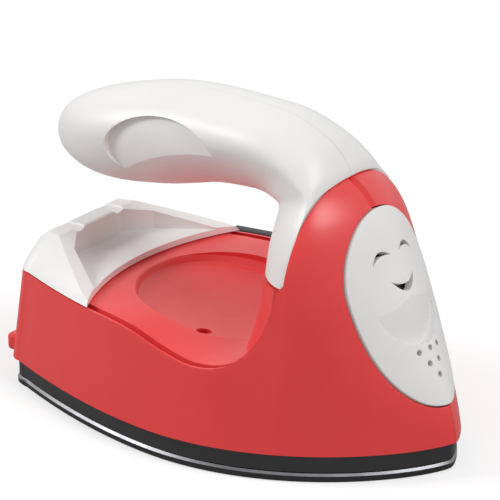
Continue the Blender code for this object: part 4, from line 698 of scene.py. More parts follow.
def above_edge(depth=0.0, name="above the edge line"):
    """All that lies behind the hood and above the body's edge line, or a depth below it."""
    line = [(REAR_X - OVERRUN, SEAM_HEIGHT), *edge_line(), (hood_rear_x(ARCH_START), ARCH_START)]
    line.append((hood_rear_x(HOOD_HEIGHT), HOOD_HEIGHT))
    line = shifted_line(line, depth) if depth else line
    high = HANDLE_HEIGHT + OVERRUN
    outline = line + [(line[-1][0], high), (REAR_X - OVERRUN, high)]
    return across(outline, name)


def hood_rear_x(z):
    """The hood's rear edge leans forward a little above the arch's start."""
    share = max(z - ARCH_START, 0.0) / (HOOD_HEIGHT - ARCH_START)
    return HOOD_X + GAP + WALL * HALF * share


def deck_slab(top, bottom, rear, name):
    """The band under the edge line between two depths, from a station forwards."""
    line = [(rear, SEAM_HEIGHT)] + edge_line()
    upper = shifted_line(line, top) if top else line
    lower = shifted_line(line, bottom)
    return across(upper + lower[::-1], name)


def plate_frame():
    """Maps (up the plate, left, out of the plate) to the object's frame."""
    up = Vector((-math.sin(PLATE_TILT), 0, math.cos(PLATE_TILT)))
    out = Vector((math.cos(PLATE_TILT), 0, math.sin(PLATE_TILT)))
    left = Vector((0, 1, 0))
    frame = Matrix((up, left, out)).transposed().to_4x4()
    x = hood_front_x(PLATE_CENTRE_HEIGHT) - PLATE_SINK
    return Matrix.Translation((x, 0, PLATE_CENTRE_HEIGHT)) @ frame


def plate_prism(outline, low, high, name):
    """A prism of an (up, left) outline through the plate between two depths."""
    mesh = prism([(u, v, 0) for u, v in outline], (0, 0, low), (0, 0, high - low), name)
    return place(mesh, plate_frame())


def egg(clearance):
    """The plate's outline, grown by a clearance."""
    points = []
    for cosine, sine in round_steps(PLATE_SIDES):
        rise = PLATE_TOP if cosine > 0 else PLATE_BOTTOM
        u = PLATE_WIDEST + (rise + clearance) * cosine
        points.append((u, (PLATE_HALF_WIDTH + clearance) * sine))
    return points


def crescent(centre, half_width, outer, inner, tilt):
    """A crescent between two parabolas that meet at its ends, as (up, left) points."""
    shares = [i / CRESCENT_STEPS * 2 - 1 for i in range(CRESCENT_STEPS + 1)]
    upper = [(outer * (1 - s * s), half_width * s) for s in shares]
    lower = [(inner * (1 - s * s), half_width * s) for s in reversed(shares[1:-1])]
    cosine, sine = math.cos(tilt), math.sin(tilt)
    return [
        (centre[0] + u * cosine - v * sine, centre[1] + u * sine + v * cosine)
        for u, v in upper + lower
    ]


# Soleplate and band


def flat_rings(inset, heights):
    """The body's lowest outline, moved in by inset, at some heights."""
    outline = form_ring(SHELL_LOW, inset)
    return [[(x, y, z) for x, y, _ in outline] for z in heights]


def make_soleplate():
    levels = (
        (0.0, SOLE_EDGE),
        (SOLE_EDGE, 0.0),
        (SOLE_THICKNESS - SOLE_EDGE, 0.0),
        (SOLE_THICKNESS, SOLE_EDGE),
    )
    rings = [flat_rings(SHELL_OVERHANG + more, [z])[0] for z, more in levels]
    plate = start_piece("soleplate", loft(rings, "soleplate"))
    bed_rings = flat_rings(SHELL_OVERHANG + BED_MARGIN, (SOLE_THICKNESS * HALF, BED_TOP))
    join(plate, loft(bed_rings, "bed"))
    screws = [*well_screws(), *bracket_screws(), *pressure_bosses()]
    bosses = [((x, y, SOLE_THICKNESS), (x, y, top), BOSS_RADIUS) for x, y, top in screws]
    join(plate, bars("sole bosses", bosses))
    radius = SCREW_RADIUS + SCREW_CLEARANCE * HALF
    holes = [((x, y, SOLE_THICKNESS), (x, y, top + OVERRUN), radius) for x, y, top in screws]
    cut(plate, bars("sole holes", holes, SMALL_SIDES))
    return plate


def well_screws():
    x = HEEL_X + WELL_STATION
    return [(x, side * WELL_SPREAD, BED_TOP + BOSS_HEIGHT) for side in (-1, 1)]


def bracket_screws():
    x = HEEL_X + THERMOSTAT_STATION
    top = BED_TOP + GAP + THERMOSTAT_CAP_HEIGHT
    return [(x, side * BRACKET_SCREW_SPREAD, top) for side in (-1, 1)]


def heater_ends():
    start = HEEL_X + HEATER_START
    return start, start + HEATER_LENGTH


def pressure_bosses():
    """Short bosses at the heater's ends that the pressure plate's screws go into."""
    start, end = heater_ends()
    top = BED_TOP + GAP + HEATER_THICKNESS
    reach = BOSS_RADIUS + GAP
    return [(start - reach, 0.0, top), (end + reach, 0.0, top)]


def make_band():
    inset = SHELL_OVERHANG + BAND_SETBACK
    low, high = BAND_LOW, BAND_LOW + BAND_HEIGHT
    band = start_piece("insulator_band", loft(flat_rings(inset, (low, high)), "band"))
    inner = flat_rings(inset + BAND_WIDTH, (low - OVERRUN, high + OVERRUN))
    cut(band, loft(inner, "band opening"))
    return band


# Body halves


def side_box(side, x_low, x_high, y_low, y_high, z_low, z_high):
    """A box on one side of the middle plane, with y counted away from it."""
    ys = sorted((side * y_low, side * y_high))
    return (x_low, ys[0], z_low), (x_high, ys[1], z_high)


def body_screw_places():
    return [(HEEL_X + HOOD_REAR * x, SEAM_HEIGHT * z) for x, z in BODY_SCREW_SHARES]


def handle_screw_places():
    return [(HEEL_X + HOOD_REAR * x, HANDLE_HEIGHT * z) for x, z in HANDLE_SCREW_SHARES]


def shell_ribs(side):
    """Posts, shelves, rails and the heel peg of one body half."""
    shape = bmesh.new()
    inner = HALF_SEAM
    for x, z in body_screw_places():
        add_cylinder(shape, (x, side * inner, z), (x, side * SIDE_REACH, z), POST_RADIUS)
    add_box(
        shape,
        *side_box(
            side,
            HEEL_X,
            HEEL_X + SHELF_LENGTH,
            inner,
            SHELF_HALF_WIDTH,
            SHELF_HEIGHT - SHELF_THICKNESS,
            SHELF_HEIGHT,
        ),
    )
    start = -BOARD_LENGTH * HALF + EYE_HEIGHT * HALF
    low, high = -BOARD_DEPTH - RAIL_HEIGHT * HALF, -BOARD_DEPTH + RAIL_HEIGHT * HALF
    inner = BOARD_HALF_WIDTH + GAP
    rail = side_box(side, start, start + RAIL_HEIGHT, inner, SIDE_REACH, low, high)
    add_box(shape, *rail, plate_frame())
    if side > 0:
        add_switch_ledge(shape)
    ribs = helper(mesh_from(shape, "ribs"))
    keep(ribs, form(WALL * HALF, name="rib limit"))
    return ribs


def heel_peg(side):
    low, high = side_box(
        side,
        REAR_X,
        HEEL_X + WALL,
        PEG_SPREAD - PEG_WIDTH * HALF,
        PEG_SPREAD + PEG_WIDTH * HALF,
        SHELL_LOW + PEG_RISE,
        SHELL_LOW + PEG_RISE + PEG_HEIGHT,
    )
    peg = helper(boxes("peg", [(low, high)]))
    soften(peg, PEG_ROUND)
    return peg


def side_screw_holes(places):
    """Screw holes from a blind end in the right half out through the left one."""
    low = -SCREW_GRIP - OVERRUN * HALF
    radius = SCREW_RADIUS + SCREW_CLEARANCE
    holes = [((x, low, z), (x, SIDE_REACH, z), radius) for x, z in places]
    return bars("screw holes", holes, SMALL_SIDES)


def counterbores(places):
    """Wells over the heads of the side screws, open to the left."""
    radius = SCREW_HEAD_RADIUS + SCREW_CLEARANCE
    wells = [((x, SCREW_GRIP, z), (x, SIDE_REACH, z), radius) for x, z in places]
    return bars("counterbores", wells, SMALL_SIDES)


def make_shell(side, name):
    shell = start_piece(name, form(0.0, name=name, side=side))
    cut(shell, form(WALL, SHELL_LOW - OVERRUN, "hollow"))
    join(shell, shell_ribs(side))
    join(shell, heel_peg(side))
    cut(shell, above_edge())
    depth = DECK_THICKNESS + GAP
    rebate = helper(deck_slab(-OVERRUN, depth, HEEL_X + DECK_REAR - GAP, "rebate"))
    keep(rebate, form(LEDGE_WIDTH, name="rebate limit"))
    cut(shell, rebate)
    cut(shell, plate_prism(egg(GAP), -WINDOW_DEPTH, PLATE_DEPTH, "window"))
    cut(shell, hood_groove())
    cut(shell, gland_hole())
    places = body_screw_places()
    cut(shell, side_screw_holes(places))
    if side > 0:
        cut(shell, counterbores(places))
        cut(shell, switch_slot())
    return shell


def hood_groove():
    """The groove along the hood's middle, from its peak to the plate's top."""
    frame = plate_frame()
    end = frame @ Vector((PLATE_WIDEST + PLATE_TOP, 0, 0))
    rings = []
    for i in range(GROOVE_STEPS + 1):
        z = between(HOOD_HEIGHT - GROOVE_DEPTH * HALF, end.z - GROOVE_DEPTH, i / GROOVE_STEPS)
        x = hood_front_x(z)
        slope = Vector((x - hood_front_x(z - GROOVE_DEPTH), 0, GROOVE_DEPTH)).normalized()
        out = Vector((slope.z, 0, -slope.x))
        spot = Vector((x, 0, z))
        high = spot + out * GROOVE_DEPTH
        low = spot - out * GROOVE_DEPTH
        wide = GROOVE_WIDTH
        rings.append([(high.x, -wide, high.z), tuple(low), (high.x, wide, high.z)])
    return loft(rings, "hood groove")


def gland_hole():
    start = (REAR_X - OVERRUN, 0, GLAND_HEIGHT)
    end = (HEEL_X + WALL + OVERRUN, 0, GLAND_HEIGHT)
    return bars("gland hole", [(start, end, GLAND_NECK_RADIUS + GAP)])


# Deck


def dish_mesh(grow, name):
    """The finger dish as a stack of ellipses below the tilted rim plane."""
    long_axis = DISH_LENGTH * HALF + grow
    wide_axis = DISH_WIDTH * HALF + grow

    def ring(scale, depth):
        turns = round_steps(DISH_SIDES)
        return [(long_axis * scale * c, wide_axis * scale * s, -depth) for c, s in turns]

    rings = [ring(DISH_RING_SHARES[0][0], -OVERRUN)]
    for scale, share in DISH_RING_SHARES:
        rings.append(ring(scale, DISH_STEP * share + (grow if share else 0.0)))
    for scale, share in dish_floor():
        rings.append(ring(scale, between(DISH_STEP, DISH_DEPTH, share) + grow))
    mesh = loft(rings, name)
    tilt = Matrix.Rotation(DISH_TILT, 4, "Y")
    mesh.transform(Matrix.Translation((HEEL_X + DISH_CENTRE, 0, dish_plane())) @ tilt)
    return mesh


def dish_plane():
    """Height of the dish's rim plane at its centre."""
    return SEAM_HEIGHT - DISH_LENGTH * HALF * math.tan(DISH_TILT)


def neck_ring(z, deep, inset):
    """A level section of the neck: half an ellipse behind the hood's rear edge."""
    wide = side_half_width(HOOD_X, z) - LEDGE_WIDTH - GAP - inset
    front = HOOD_X + OVERRUN if inset else HOOD_X - GAP
    deep += front - (HOOD_X - GAP)
    points = []
    for i in range(NECK_SIDES + 1):
        angle = math.pi * i / NECK_SIDES
        points.append((front - deep * math.sin(angle), -wide * math.cos(angle), z))
    return points


def neck_foot(inset, name):
    """The red foot of the neck, flared towards the dish."""
    rings = []
    for i in range(NECK_LEVELS + 1):
        share = i / NECK_LEVELS
        z = between(NECK_FOOT, NECK_SEAM - GAP, share)
        deep = NECK_HOLLOW if inset else NECK_DEPTH + NECK_FLARE * (1 - share) ** 2
        rings.append(neck_ring(z, deep, inset))
    if inset:
        rings.insert(0, [(x, y, NECK_FOOT - OVERRUN) for x, y, _ in rings[0]])
        rings.append([(x, y, NECK_SEAM + OVERRUN) for x, y, _ in rings[-1]])
    return loft(rings, name)


def deck_limit():
    """The room for the deck: inside the walls, and over their rebate out to the ledge."""
    limit = helper(form(LEDGE_WIDTH + GAP, name="deck rim limit"))
    keep(limit, above_edge(DECK_THICKNESS, "over the rebate"))
    join(limit, form(WALL + GAP, SHELL_LOW - OVERRUN, "deck wall limit"))
    return limit


def make_deck():
    deck = start_piece("deck", deck_slab(0.0, DECK_THICKNESS, HEEL_X + DECK_REAR, "deck"))
    bowl = helper(dish_mesh(DISH_WALL, "dish underside"))
    cut(bowl, above_edge())
    join(deck, bowl)
    wells = [
        ((x, y, top + GAP), (x, y, SEAM_HEIGHT - DISH_DEPTH), WELL_RADIUS)
        for x, y, top in well_screws()
    ]
    join(deck, bars("wells", wells))
    cut(deck, dish_mesh(0.0, "dish"))
    join(deck, neck_foot(0.0, "neck foot"))
    cut(deck, neck_foot(WALL, "neck foot hollow"))
    bores = []
    floors = []
    for x, y, top in well_screws():
        seat = top + GAP + WELL_FLOOR
        bores.append(((x, y, seat), (x, y, HOOD_HEIGHT), WELL_HOLE_RADIUS))
        low, high = (x, y, top - OVERRUN), (x, y, seat + OVERRUN * HALF)
        floors.append((low, high, SCREW_RADIUS + SCREW_CLEARANCE))
    cut(deck, bars("well bores", bores, SMALL_SIDES))
    cut(deck, bars("well floors", floors, SMALL_SIDES))
    keep(deck, deck_limit())
    return deck


# Rear cover


def cover_roof(inset, name):
    """The cap's hipped outline: the body's seam outline drawn in steadily with height."""
    floor = SEAM_HEIGHT + GAP
    base = form_half(SEAM_HEIGHT, inset)
    tip_x = HEEL_X + COVER_TIP
    side = [point for point in base if point[0] < tip_x - GAP]
    side += [(tip_x, side_half_width(tip_x, SEAM_HEIGHT) - inset)]
    top = COVER_HEIGHT + COVER_WALL
    rings = []
    for i in range(COVER_LEVELS):
        rise = top * i / (COVER_LEVELS - 1)
        draw = max(rise - COVER_KERB, 0.0) * COVER_HIP_SHARE
        shift = rise * COVER_HEEL_LEAN_SHARE
        half = [(x + shift, max(y - draw, GAP), floor + rise) for x, y in side]
        rings.append([(x, -y, z) for x, y, z in half] + half[::-1])
    if inset:
        rings.insert(0, [(x, y, floor - OVERRUN) for x, y, _ in rings[0]])
    return loft(rings, name)


def cover_profile(inset, name):
    """The cap's side view, carried right across."""
    floor = SEAM_HEIGHT + GAP
    line = [(HEEL_X + COVER_TIP * x, floor + COVER_HEIGHT * z) for x, z in COVER_PROFILE_SHARES]
    line = shifted_line(line, inset) if inset else line
    outline = [(line[0][0], floor - OVERRUN), *line, (line[-1][0], floor - OVERRUN)]
    return across(outline, name)


def cover_notch(grow, name):
    """The opening in the cap's top, with a flat rear wall and flared cheeks."""
    floor = SEAM_HEIGHT + GAP + COVER_FLOOR
    rear = HEEL_X + NOTCH_REAR - grow
    middle = HEEL_X + NOTCH_MIDDLE - grow * HALF
    front = HEEL_X + COVER_TIP + OVERRUN
    half = [
        (rear, NOTCH_REAR_HALF_WIDTH + grow),
        (middle, NOTCH_MIDDLE_HALF_WIDTH + grow),
        (front, NOTCH_FRONT_HALF_WIDTH + grow),
    ]
    outline = [(x, -y, 0) for x, y in half] + [(x, y, 0) for x, y in half[::-1]]
    return prism(outline, (0, 0, floor - grow), (0, 0, HANDLE_HEIGHT), name)


def cover_arc(grow, name):
    """The round front edge of the cap, as the disc in front of it."""
    tip = side_half_width(HEEL_X + COVER_TIP, SEAM_HEIGHT)
    centre = HEEL_X + COVER_TIP + math.sqrt(COVER_ARC_RADIUS**2 - tip * tip)
    low = (centre, 0, SEAM_HEIGHT - OVERRUN - OVERRUN)
    high = (centre, 0, HOOD_HEIGHT)
    return bars(name, [(low, high, COVER_ARC_RADIUS + grow)], ARC_SIDES)


def cover_hollow():
    """The room under the cap's rim, open below."""
    hollow = helper(cover_roof(COVER_WALL, "cover hollow"))
    keep(hollow, cover_profile(COVER_WALL, "cover profile inside"))
    cut(hollow, cover_notch(COVER_WALL, "notch wall"))
    cut(hollow, cover_arc(HOLLOW_MARGIN, "arc wall"))
    return hollow


def cover_tab(side):
    """A tab that hangs from the cap's rear wall inside the body's."""
    rear = HEEL_X - SHELL_OVERHANG + WALL + GAP + HEEL_LEAN_SHARE * SEAM_HEIGHT
    low = SEAM_HEIGHT - TAB_DEPTH
    step = SEAM_HEIGHT + GAP + GAP
    high = step + TAB_THICKNESS
    front = rear + TAB_THICKNESS
    points = [(rear, 0, low), (front, 0, low), (front, 0, high)]
    points += [(HEEL_X, 0, high), (HEEL_X, 0, step), (rear, 0, step)]
    start = (0, side * TAB_SPREAD - TAB_WIDTH * HALF, 0)
    return prism(points, start, (0, TAB_WIDTH, 0), "cover tab")


def make_cover():
    cover = start_piece("rear_cover", cover_roof(0.0, "rear cover"))
    keep(cover, cover_profile(0.0, "cover profile"))
    cut(cover, cover_arc(0.0, "cover arc"))
    cut(cover, cover_notch(0.0, "notch"))
    high = SEAM_HEIGHT + GAP + SADDLE_RISE
    front = HEEL_X + NOTCH_REAR + WALL
    saddles = [
        ((REAR_X, side * SADDLE_SPREAD, high), (front, side * SADDLE_SPREAD, high), SADDLE_RADIUS)
        for side in (-1, 1)
    ]
    cut(cover, bars("saddles", saddles))
    soften(cover, COVER_ROUND, angle=COVER_CREASE)
    cut(cover, cover_hollow())
    for side in (-1, 1):
        join(cover, cover_tab(side))
    return cover


# Handle


def grip_half(station, inset, steps):
    """One side of a handle section, from its lower line to its upper line."""
    low_x, low_z, high_x, high_z, width, widest = station
    low = Vector((HEEL_X + HOOD_REAR * low_x, HANDLE_HEIGHT * low_z))
    high = Vector((HEEL_X + HOOD_REAR * high_x, HANDLE_HEIGHT * high_z))
    run = (high - low).normalized()
    low += run * inset
    if widest < NECK_WIDEST_SHARE or not inset:
        high -= run * inset
    else:
        high += run * OVERRUN
    half_width = HANDLE_HALF_WIDTH * width - inset
    middle = low.lerp(high, min(widest, 1.0))
    under = read_line(UNDER_POWER_SHARES, low_x)
    points = []
    for i in range(steps + 1):
        angle = math.pi * i / steps
        up = -math.cos(angle)
        out = math.sin(angle)
        power = GRIP_POWER if up > 0 else under
        rise = abs(up) ** (2 / power)
        end = high if up > 0 else low
        spot = middle + (end - middle) * rise
        points.append((spot.x, half_width * out ** (2 / power), spot.y))
    return points


def handle_mesh(inset, name, side=0):
    """The handle with its neck, moved in by inset; one side or both."""
    stations = [Vector(shares) for shares in HANDLE_STATION_SHARES]
    if not inset:
        stations = smooth_route(stations, CURVE_STEPS)
    steps = INNER_STEPS if inset else GRIP_STEPS
    halves = [grip_half(station, inset, steps) for station in stations]
    tip_x = HEEL_X + HOOD_REAR * HANDLE_END_SHARES[0] + inset
    tip = Vector((tip_x, 0.0, HANDLE_HEIGHT * HANDLE_END_SHARES[1]))
    halves += round_end(halves[-1], tip)
    if inset:
        halves.insert(0, [(x, y, z - OVERRUN) for x, y, z in halves[0]])
    if side:
        inner = HALF_SEAM * HALF
        rings = [[(x, side * max(y, inner), z) for x, y, z in half] for half in halves]
    else:
        rings = [half + [(x, -y, z) for x, y, z in half[-2:0:-1]] for half in halves]
    return loft(rings, name)


def hood_clearance():
    """The room the hood takes, grown by the seam's gap, that the handle stays out of."""
    low = NECK_SEAM - OVERRUN
    high = HANDLE_HEIGHT + OVERRUN
    edge_x, edge_z = edge_line()[-1]
    outline = [
        (edge_x - GAP, low),
        (edge_x - GAP, edge_z),
        (hood_rear_x(ARCH_START) - GAP, ARCH_START),
        (hood_rear_x(HOOD_HEIGHT) - GAP, HOOD_HEIGHT),
        (hood_rear_x(HOOD_HEIGHT) - GAP, high),
        (NOSE_X + OVERRUN, high),
        (NOSE_X + OVERRUN, low),
    ]
    room = helper(across(outline, "hood room"))
    keep(room, form(-GAP, name="hood room limit"))
    return room


def dent(side):
    """The room over an oval dent: an oval prism less the flatter core that stays."""
    spot = Matrix.Translation((HEEL_X + DENT_STATION, 0, DENT_HEIGHT))
    turn = Matrix.Rotation(DENT_TILT, 4, "Y")
    turns = round_steps(DENT_SIDES)
    outline = [(DENT_HALF_LENGTH * c, 0, DENT_HALF_HEIGHT * s) for c, s in turns]
    start = (0, side * HANDLE_HALF_WIDTH * HALF, 0)
    mesh = prism(outline, start, (0, side * SIDE_REACH, 0), "dent")
    mesh.transform(spot @ turn)
    room = helper(mesh)
    shape = bmesh.new()
    bmesh.ops.create_uvsphere(shape, u_segments=CORE_SIDES, v_segments=CORE_LEVELS, radius=1.0)
    core = mesh_from(shape, "dent core")
    axes = (DENT_CORE_LENGTH, HANDLE_HALF_WIDTH - DENT_DEPTH, DENT_CORE_HEIGHT, 1.0)
    core.transform(spot @ turn @ Matrix.Diagonal(axes))
    cut(room, core)
    return room


def handle_posts(side):
    inner, outer = side * HALF_SEAM, side * HANDLE_HALF_WIDTH
    places = [((x, inner, z), (x, outer, z), POST_RADIUS) for x, z in handle_screw_places()]
    posts = helper(bars("handle posts", places))
    keep(posts, handle_mesh(HANDLE_WALL * HALF, "post limit"))
    return posts


def neck_lip(side):
    """An arched lip on the neck that the hood closes over."""
    lip = helper(form(WALL + GAP, name="lip"))
    cut(lip, form(WALL + GAP + LIP_WIDTH, SHELL_LOW - OVERRUN, "lip inside"))
    span = side_box(
        side,
        HOOD_X - WALL,
        HOOD_X + LIP_REACH,
        HALF_SEAM,
        SIDE_REACH,
        NECK_SEAM + WALL,
        HOOD_HEIGHT,
    )
    keep(lip, boxes("lip box", [span]))
    return lip


def make_handle(side, name):
    handle = start_piece(name, handle_mesh(0.0, name, side))
    cut(handle, handle_mesh(HANDLE_WALL, "handle hollow"))
    cut(handle, hood_clearance())
    cut(handle, dent(side))
    join(handle, neck_lip(side))
    join(handle, handle_posts(side))
    places = handle_screw_places()
    cut(handle, side_screw_holes(places))
    if side > 0:
        cut(handle, counterbores(places))
    return handle


# Front plate


def scoop_floor(u, v):
    """Depth of the scoop's floor at a place on the plate."""
    run = u - SCOOP_CREST
    rise = run * math.tan(SCOOP_SLOPE) - run * run * HALF / SCOOP_LONG_RADIUS
    return SCOOP_CREST_RISE + rise - v * v * HALF / SCOOP_CROSS_RADIUS


def scoop(grow, name):
    """The room of the scoop, grown by a wall."""
    rings = []
    for share in SCOOP_RING_SHARES:
        ring = []
        for cosine, sine in round_steps(SCOOP_SIDES):
            u = SCOOP_CENTRE + (SCOOP_HALF_LENGTH + grow) * share * cosine
            v = (SCOOP_HALF_WIDTH + grow) * share * sine
            ring.append((u, v, scoop_floor(u, v) - grow))
        rings.append(ring)
    rings.append([(u, v, PLATE_DEPTH) for u, v, _ in rings[-1]])
    return place(loft(rings, name), plate_frame())


def plate_openings():
    """The three crescent slots and the six vents, as one group of cutters."""
    shape = bmesh.new()
    rise = EYE_RISE - EYE_SLOT
    outlines = [
        crescent((EYE_HEIGHT, side * EYE_SPREAD), EYE_HALF_WIDTH, EYE_RISE, rise, side * EYE_TILT)
        for side in (-1, 1)
    ]
    mouth = crescent((MOUTH_HEIGHT, 0), MOUTH_HALF_WIDTH, MOUTH_SLOT - MOUTH_DROP, -MOUTH_DROP, 0)
    for outline in [*outlines, mouth]:
        points = [(u, v, 0) for u, v in outline]
        through = (0, 0, PLATE_DEPTH * 2)
        shape.from_mesh(prism(points, (0, 0, -PLATE_DEPTH), through, "slot"))
    for row, count in enumerate(VENT_ROWS):
        u = -VENT_TOP - VENT_ROW_PITCH * row
        for i in range(count):
            v = VENT_PITCH * (i - (count - 1) * HALF)
            low, high = (u, v, -PLATE_DEPTH), (u, v, PLATE_DEPTH)
            add_cylinder(shape, low, high, VENT_RADIUS, VENT_SIDES)
    return place(mesh_from(shape, "plate openings"), plate_frame())


def make_plate():
    plate = start_piece("front_plate", form(-PLATE_PROUD))
    bulge = helper(scoop(SCOOP_WALL, "scoop back"))
    keep(bulge, form(GAP, name="scoop back limit"))
    cut(plate, form(PLATE_THICKNESS - PLATE_PROUD, SHELL_LOW - OVERRUN, "plate inside"))
    join(plate, bulge)
    keep(plate, plate_prism(egg(0.0), -PLATE_DEPTH * HALF, PLATE_DEPTH, "plate outline"))
    cut(plate, scoop(0.0, "scoop"))
    cut(plate, plate_openings())
    return plate


# Gland and switch


def turned(name, profile):
    """A turned ring about Z from a closed (r, z) profile that runs down its outer side."""
    mesh = bpy.data.meshes.new(name)
    edges = [(i, i + 1) for i in range(len(profile) - 1)] + [(len(profile) - 1, 0)]
    mesh.from_pydata([(r, 0.0, z) for r, z in profile], edges, [])
    made = start_piece(name, mesh)
    spin = made.modifiers.new("turned", "SCREW")
    spin.axis = "Z"
    spin.angle = math.tau
    spin.steps = ROUND_SIDES
    spin.render_steps = ROUND_SIDES
    spin.use_merge_vertices = True
    spin.merge_threshold = TURN_WELD
    return made


def make_gland():
    wall_out = HEEL_X - SHELL_OVERHANG + HEEL_LEAN_SHARE * (GLAND_HEIGHT - SHELL_LOW)
    outer = -(wall_out - GAP)
    inner = -(wall_out + WALL + GAP)
    profile = (
        (GLAND_BORE_RADIUS, outer + GLAND_FLANGE),
        (GLAND_NECK_RADIUS, outer + GLAND_FLANGE),
        (GLAND_FLANGE_RADIUS, outer + GLAND_FLANGE * HALF),
        (GLAND_FLANGE_RADIUS, outer),
        (GLAND_NECK_RADIUS, outer),
        (GLAND_NECK_RADIUS, inner),
        (GLAND_FLANGE_RADIUS, inner),
        (GLAND_FLANGE_RADIUS, inner - GLAND_FLANGE),
        (GLAND_NECK_RADIUS, inner - GLAND_FLANGE - GLAND_REACH),
        (GLAND_BORE_RADIUS, inner - GLAND_FLANGE - GLAND_REACH),
    )
    gland = turned("cord_gland", profile)
    gland.rotation_euler = (0, -math.pi * HALF, 0)
    gland.location = (0, 0, GLAND_HEIGHT)
    return gland


def switch_frame():
    """Follows the left wall: X along the wall, Y out of it, Z up, at the stem's level."""
    x = HEEL_X + SWITCH_STATION
    step = BUTTON_LENGTH * HALF
    rear = side_half_width(x - step, STEM_LEVEL)
    front = side_half_width(x + step, STEM_LEVEL)
    turn = math.atan2(front - rear, BUTTON_LENGTH)
    wall = side_half_width(x, STEM_LEVEL)
    return Matrix.Translation((x, wall, STEM_LEVEL)) @ Matrix.Rotation(turn, 4, "Z")


def make_button():
    frame = switch_frame()
    low = BUTTON_TOP - STEM_LEVEL - BUTTON_HEIGHT
    high = BUTTON_TOP - STEM_LEVEL
    back = GAP + GAP
    lean = WALL_LEAN_SHARE
    half = BUTTON_LENGTH * HALF
    outline = [
        (back - lean * low, low),
        (back - lean * high, high),
        (back - lean * high + BUTTON_PROUD, high),
        (back - lean * low + BUTTON_PROUD, low),
    ]
    points = [(0, y, z) for y, z in outline]
    start = -SWITCH_TRAVEL * HALF
    mesh = prism(points, (start - half, 0, 0), (BUTTON_LENGTH, 0, 0), "button")
    mesh.transform(frame.to_3x3().to_4x4())
    button = start_piece("switch_button", mesh)
    button.location = frame.translation
    soften(button, BUTTON_RIB * HALF)
    ribs = []
    for i in range(BUTTON_RIBS):
        x = start + (i - (BUTTON_RIBS - 1) * HALF) * BUTTON_RIB_PITCH - BUTTON_RIB * HALF
        y = back - lean * high + BUTTON_PROUD
        ribs.append(((x, y, low - OVERRUN), (x + BUTTON_RIB, y + OVERRUN, high + OVERRUN)))
    cut(button, boxes("button grooves", ribs, frame))
    return button


def switch_case_span():
    """Inner and outer faces of the switch case, counted out of the wall."""
    outer = -WALL - CASE_SETBACK - WALL_LEAN_SHARE * CASE_HEIGHT
    return outer - CASE_DEPTH, outer


def add_switch_ledge(shape):
    """A ledge on the left wall under the switch case."""
    inner, outer = switch_case_span()
    half = CASE_LENGTH * HALF
    top = -CASE_DROP - GAP
    add_box(shape, (-half, inner, top - WALL), (half, OVERRUN, top), switch_frame())


def switch_slot():
    start = -SWITCH_TRAVEL * HALF - STEM_WIDTH * HALF - SLOT_CLEARANCE
    end = SWITCH_TRAVEL * HALF + STEM_WIDTH * HALF + SLOT_CLEARANCE
    high = STEM_HEIGHT * HALF + SLOT_CLEARANCE
    low = (start, -WALL - WALL, -high)
    return boxes("switch slot", [(low, (end, OVERRUN, high))], switch_frame())


# Finished meshes


def settle(piece, edge=0.0):
    """Applies the cuts of a piece, rounds its sharp edges a little and shades it smooth."""
    if edge:
        round_edges(piece, edge, CREASE).miter_outer = "MITER_ARC"
    even = piece.modifiers.new("normals of the large faces", "WEIGHTED_NORMAL")
    even.keep_sharp = True
    piece.data.shade_smooth()
    piece.data.set_sharp_from_angle(angle=CREASE)
    bpy.context.view_layer.update()
    graph = bpy.context.evaluated_depsgraph_get()
    mesh = bpy.data.meshes.new_from_object(piece.evaluated_get(graph))
    piece.modifiers.clear()
    piece.data = mesh
    mesh.transform(piece.matrix_world)
    piece.matrix_world = Matrix()
    drop_cutters()
    return piece


def drop_cutters():
    """Removes the shapes that only cut or joined."""
    if CUTTERS in bpy.data.collections:
        group = bpy.data.collections[CUTTERS]
        for item in list(group.objects):
            bpy.data.objects.remove(item, do_unlink=True)
        bpy.data.collections.remove(group)


def stand_for(piece, node, slot, body="press"):
    """A finished piece takes the place of a solid, its body and its finish."""
    piece.data.materials.clear()
    piece.data.materials.append(look(slot))
    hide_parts(node)
    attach(piece, body)


# Materials: every pattern is measured in millimetres

MILLIMETRES = 1000.0
COLOUR_DETAIL = 3.0
FINE_DETAIL = 2.0
COLOUR_LOW = 0.35
COLOUR_HIGH = 0.65
MOULDED_COLOUR_SPACING = 14.0
MOULDED_GLOSS_SPACING = 6.0
METAL_COLOUR_SPACING = 5.0
METAL_GLOSS_SPACING = 1.5
METAL_GRAIN = 0.4
METAL_GRAIN_DEPTH = 0.002


def linear(code):
    """A #rrggbb colour as linear values, by the sRGB curve, with full opacity."""
    parts = [int(code[i:i + 2], 16) / 255 for i in (1, 3, 5)]
    values = [c / 12.92 if c <= 0.04045 else ((c + 0.055) / 1.055) ** 2.4 for c in parts]
    return (*values, 1.0)


def add_node(tree, kind, links=None, **settings):
    """Adds a node; settings are its properties or socket values, links go into its sockets."""
    node = tree.nodes.new(kind)
    for key, value in settings.items():
        if hasattr(node, key):
            setattr(node, key, value)
        else:
            socket(node, key).default_value = value
    for key, source in (links or {}).items():
        tree.links.new(source, socket(node, key))
    return node


def socket(node, key):
    """An input by its name, written with underscores, or by its number after a single i."""
    if key[0] == "i" and key[1:].isdigit():
        return node.inputs[int(key[1:])]
    wanted = key.replace("_", " ").lower()
    return next(item for item in node.inputs if item.name.lower() == wanted)


def new_look(name):
    """An empty material with its shader and the object's own coordinates in millimetres."""
    look = bpy.data.materials.new(name)
    look.use_nodes = True
    tree = look.node_tree
    shader = tree.nodes["Principled BSDF"]
    place = add_node(tree, "ShaderNodeTexCoord").outputs["Object"]
    scaled = add_node(
        tree, "ShaderNodeVectorMath", {"i0": place}, operation="SCALE", Scale=MILLIMETRES
    )
    return look, tree, shader, scaled.outputs[0]


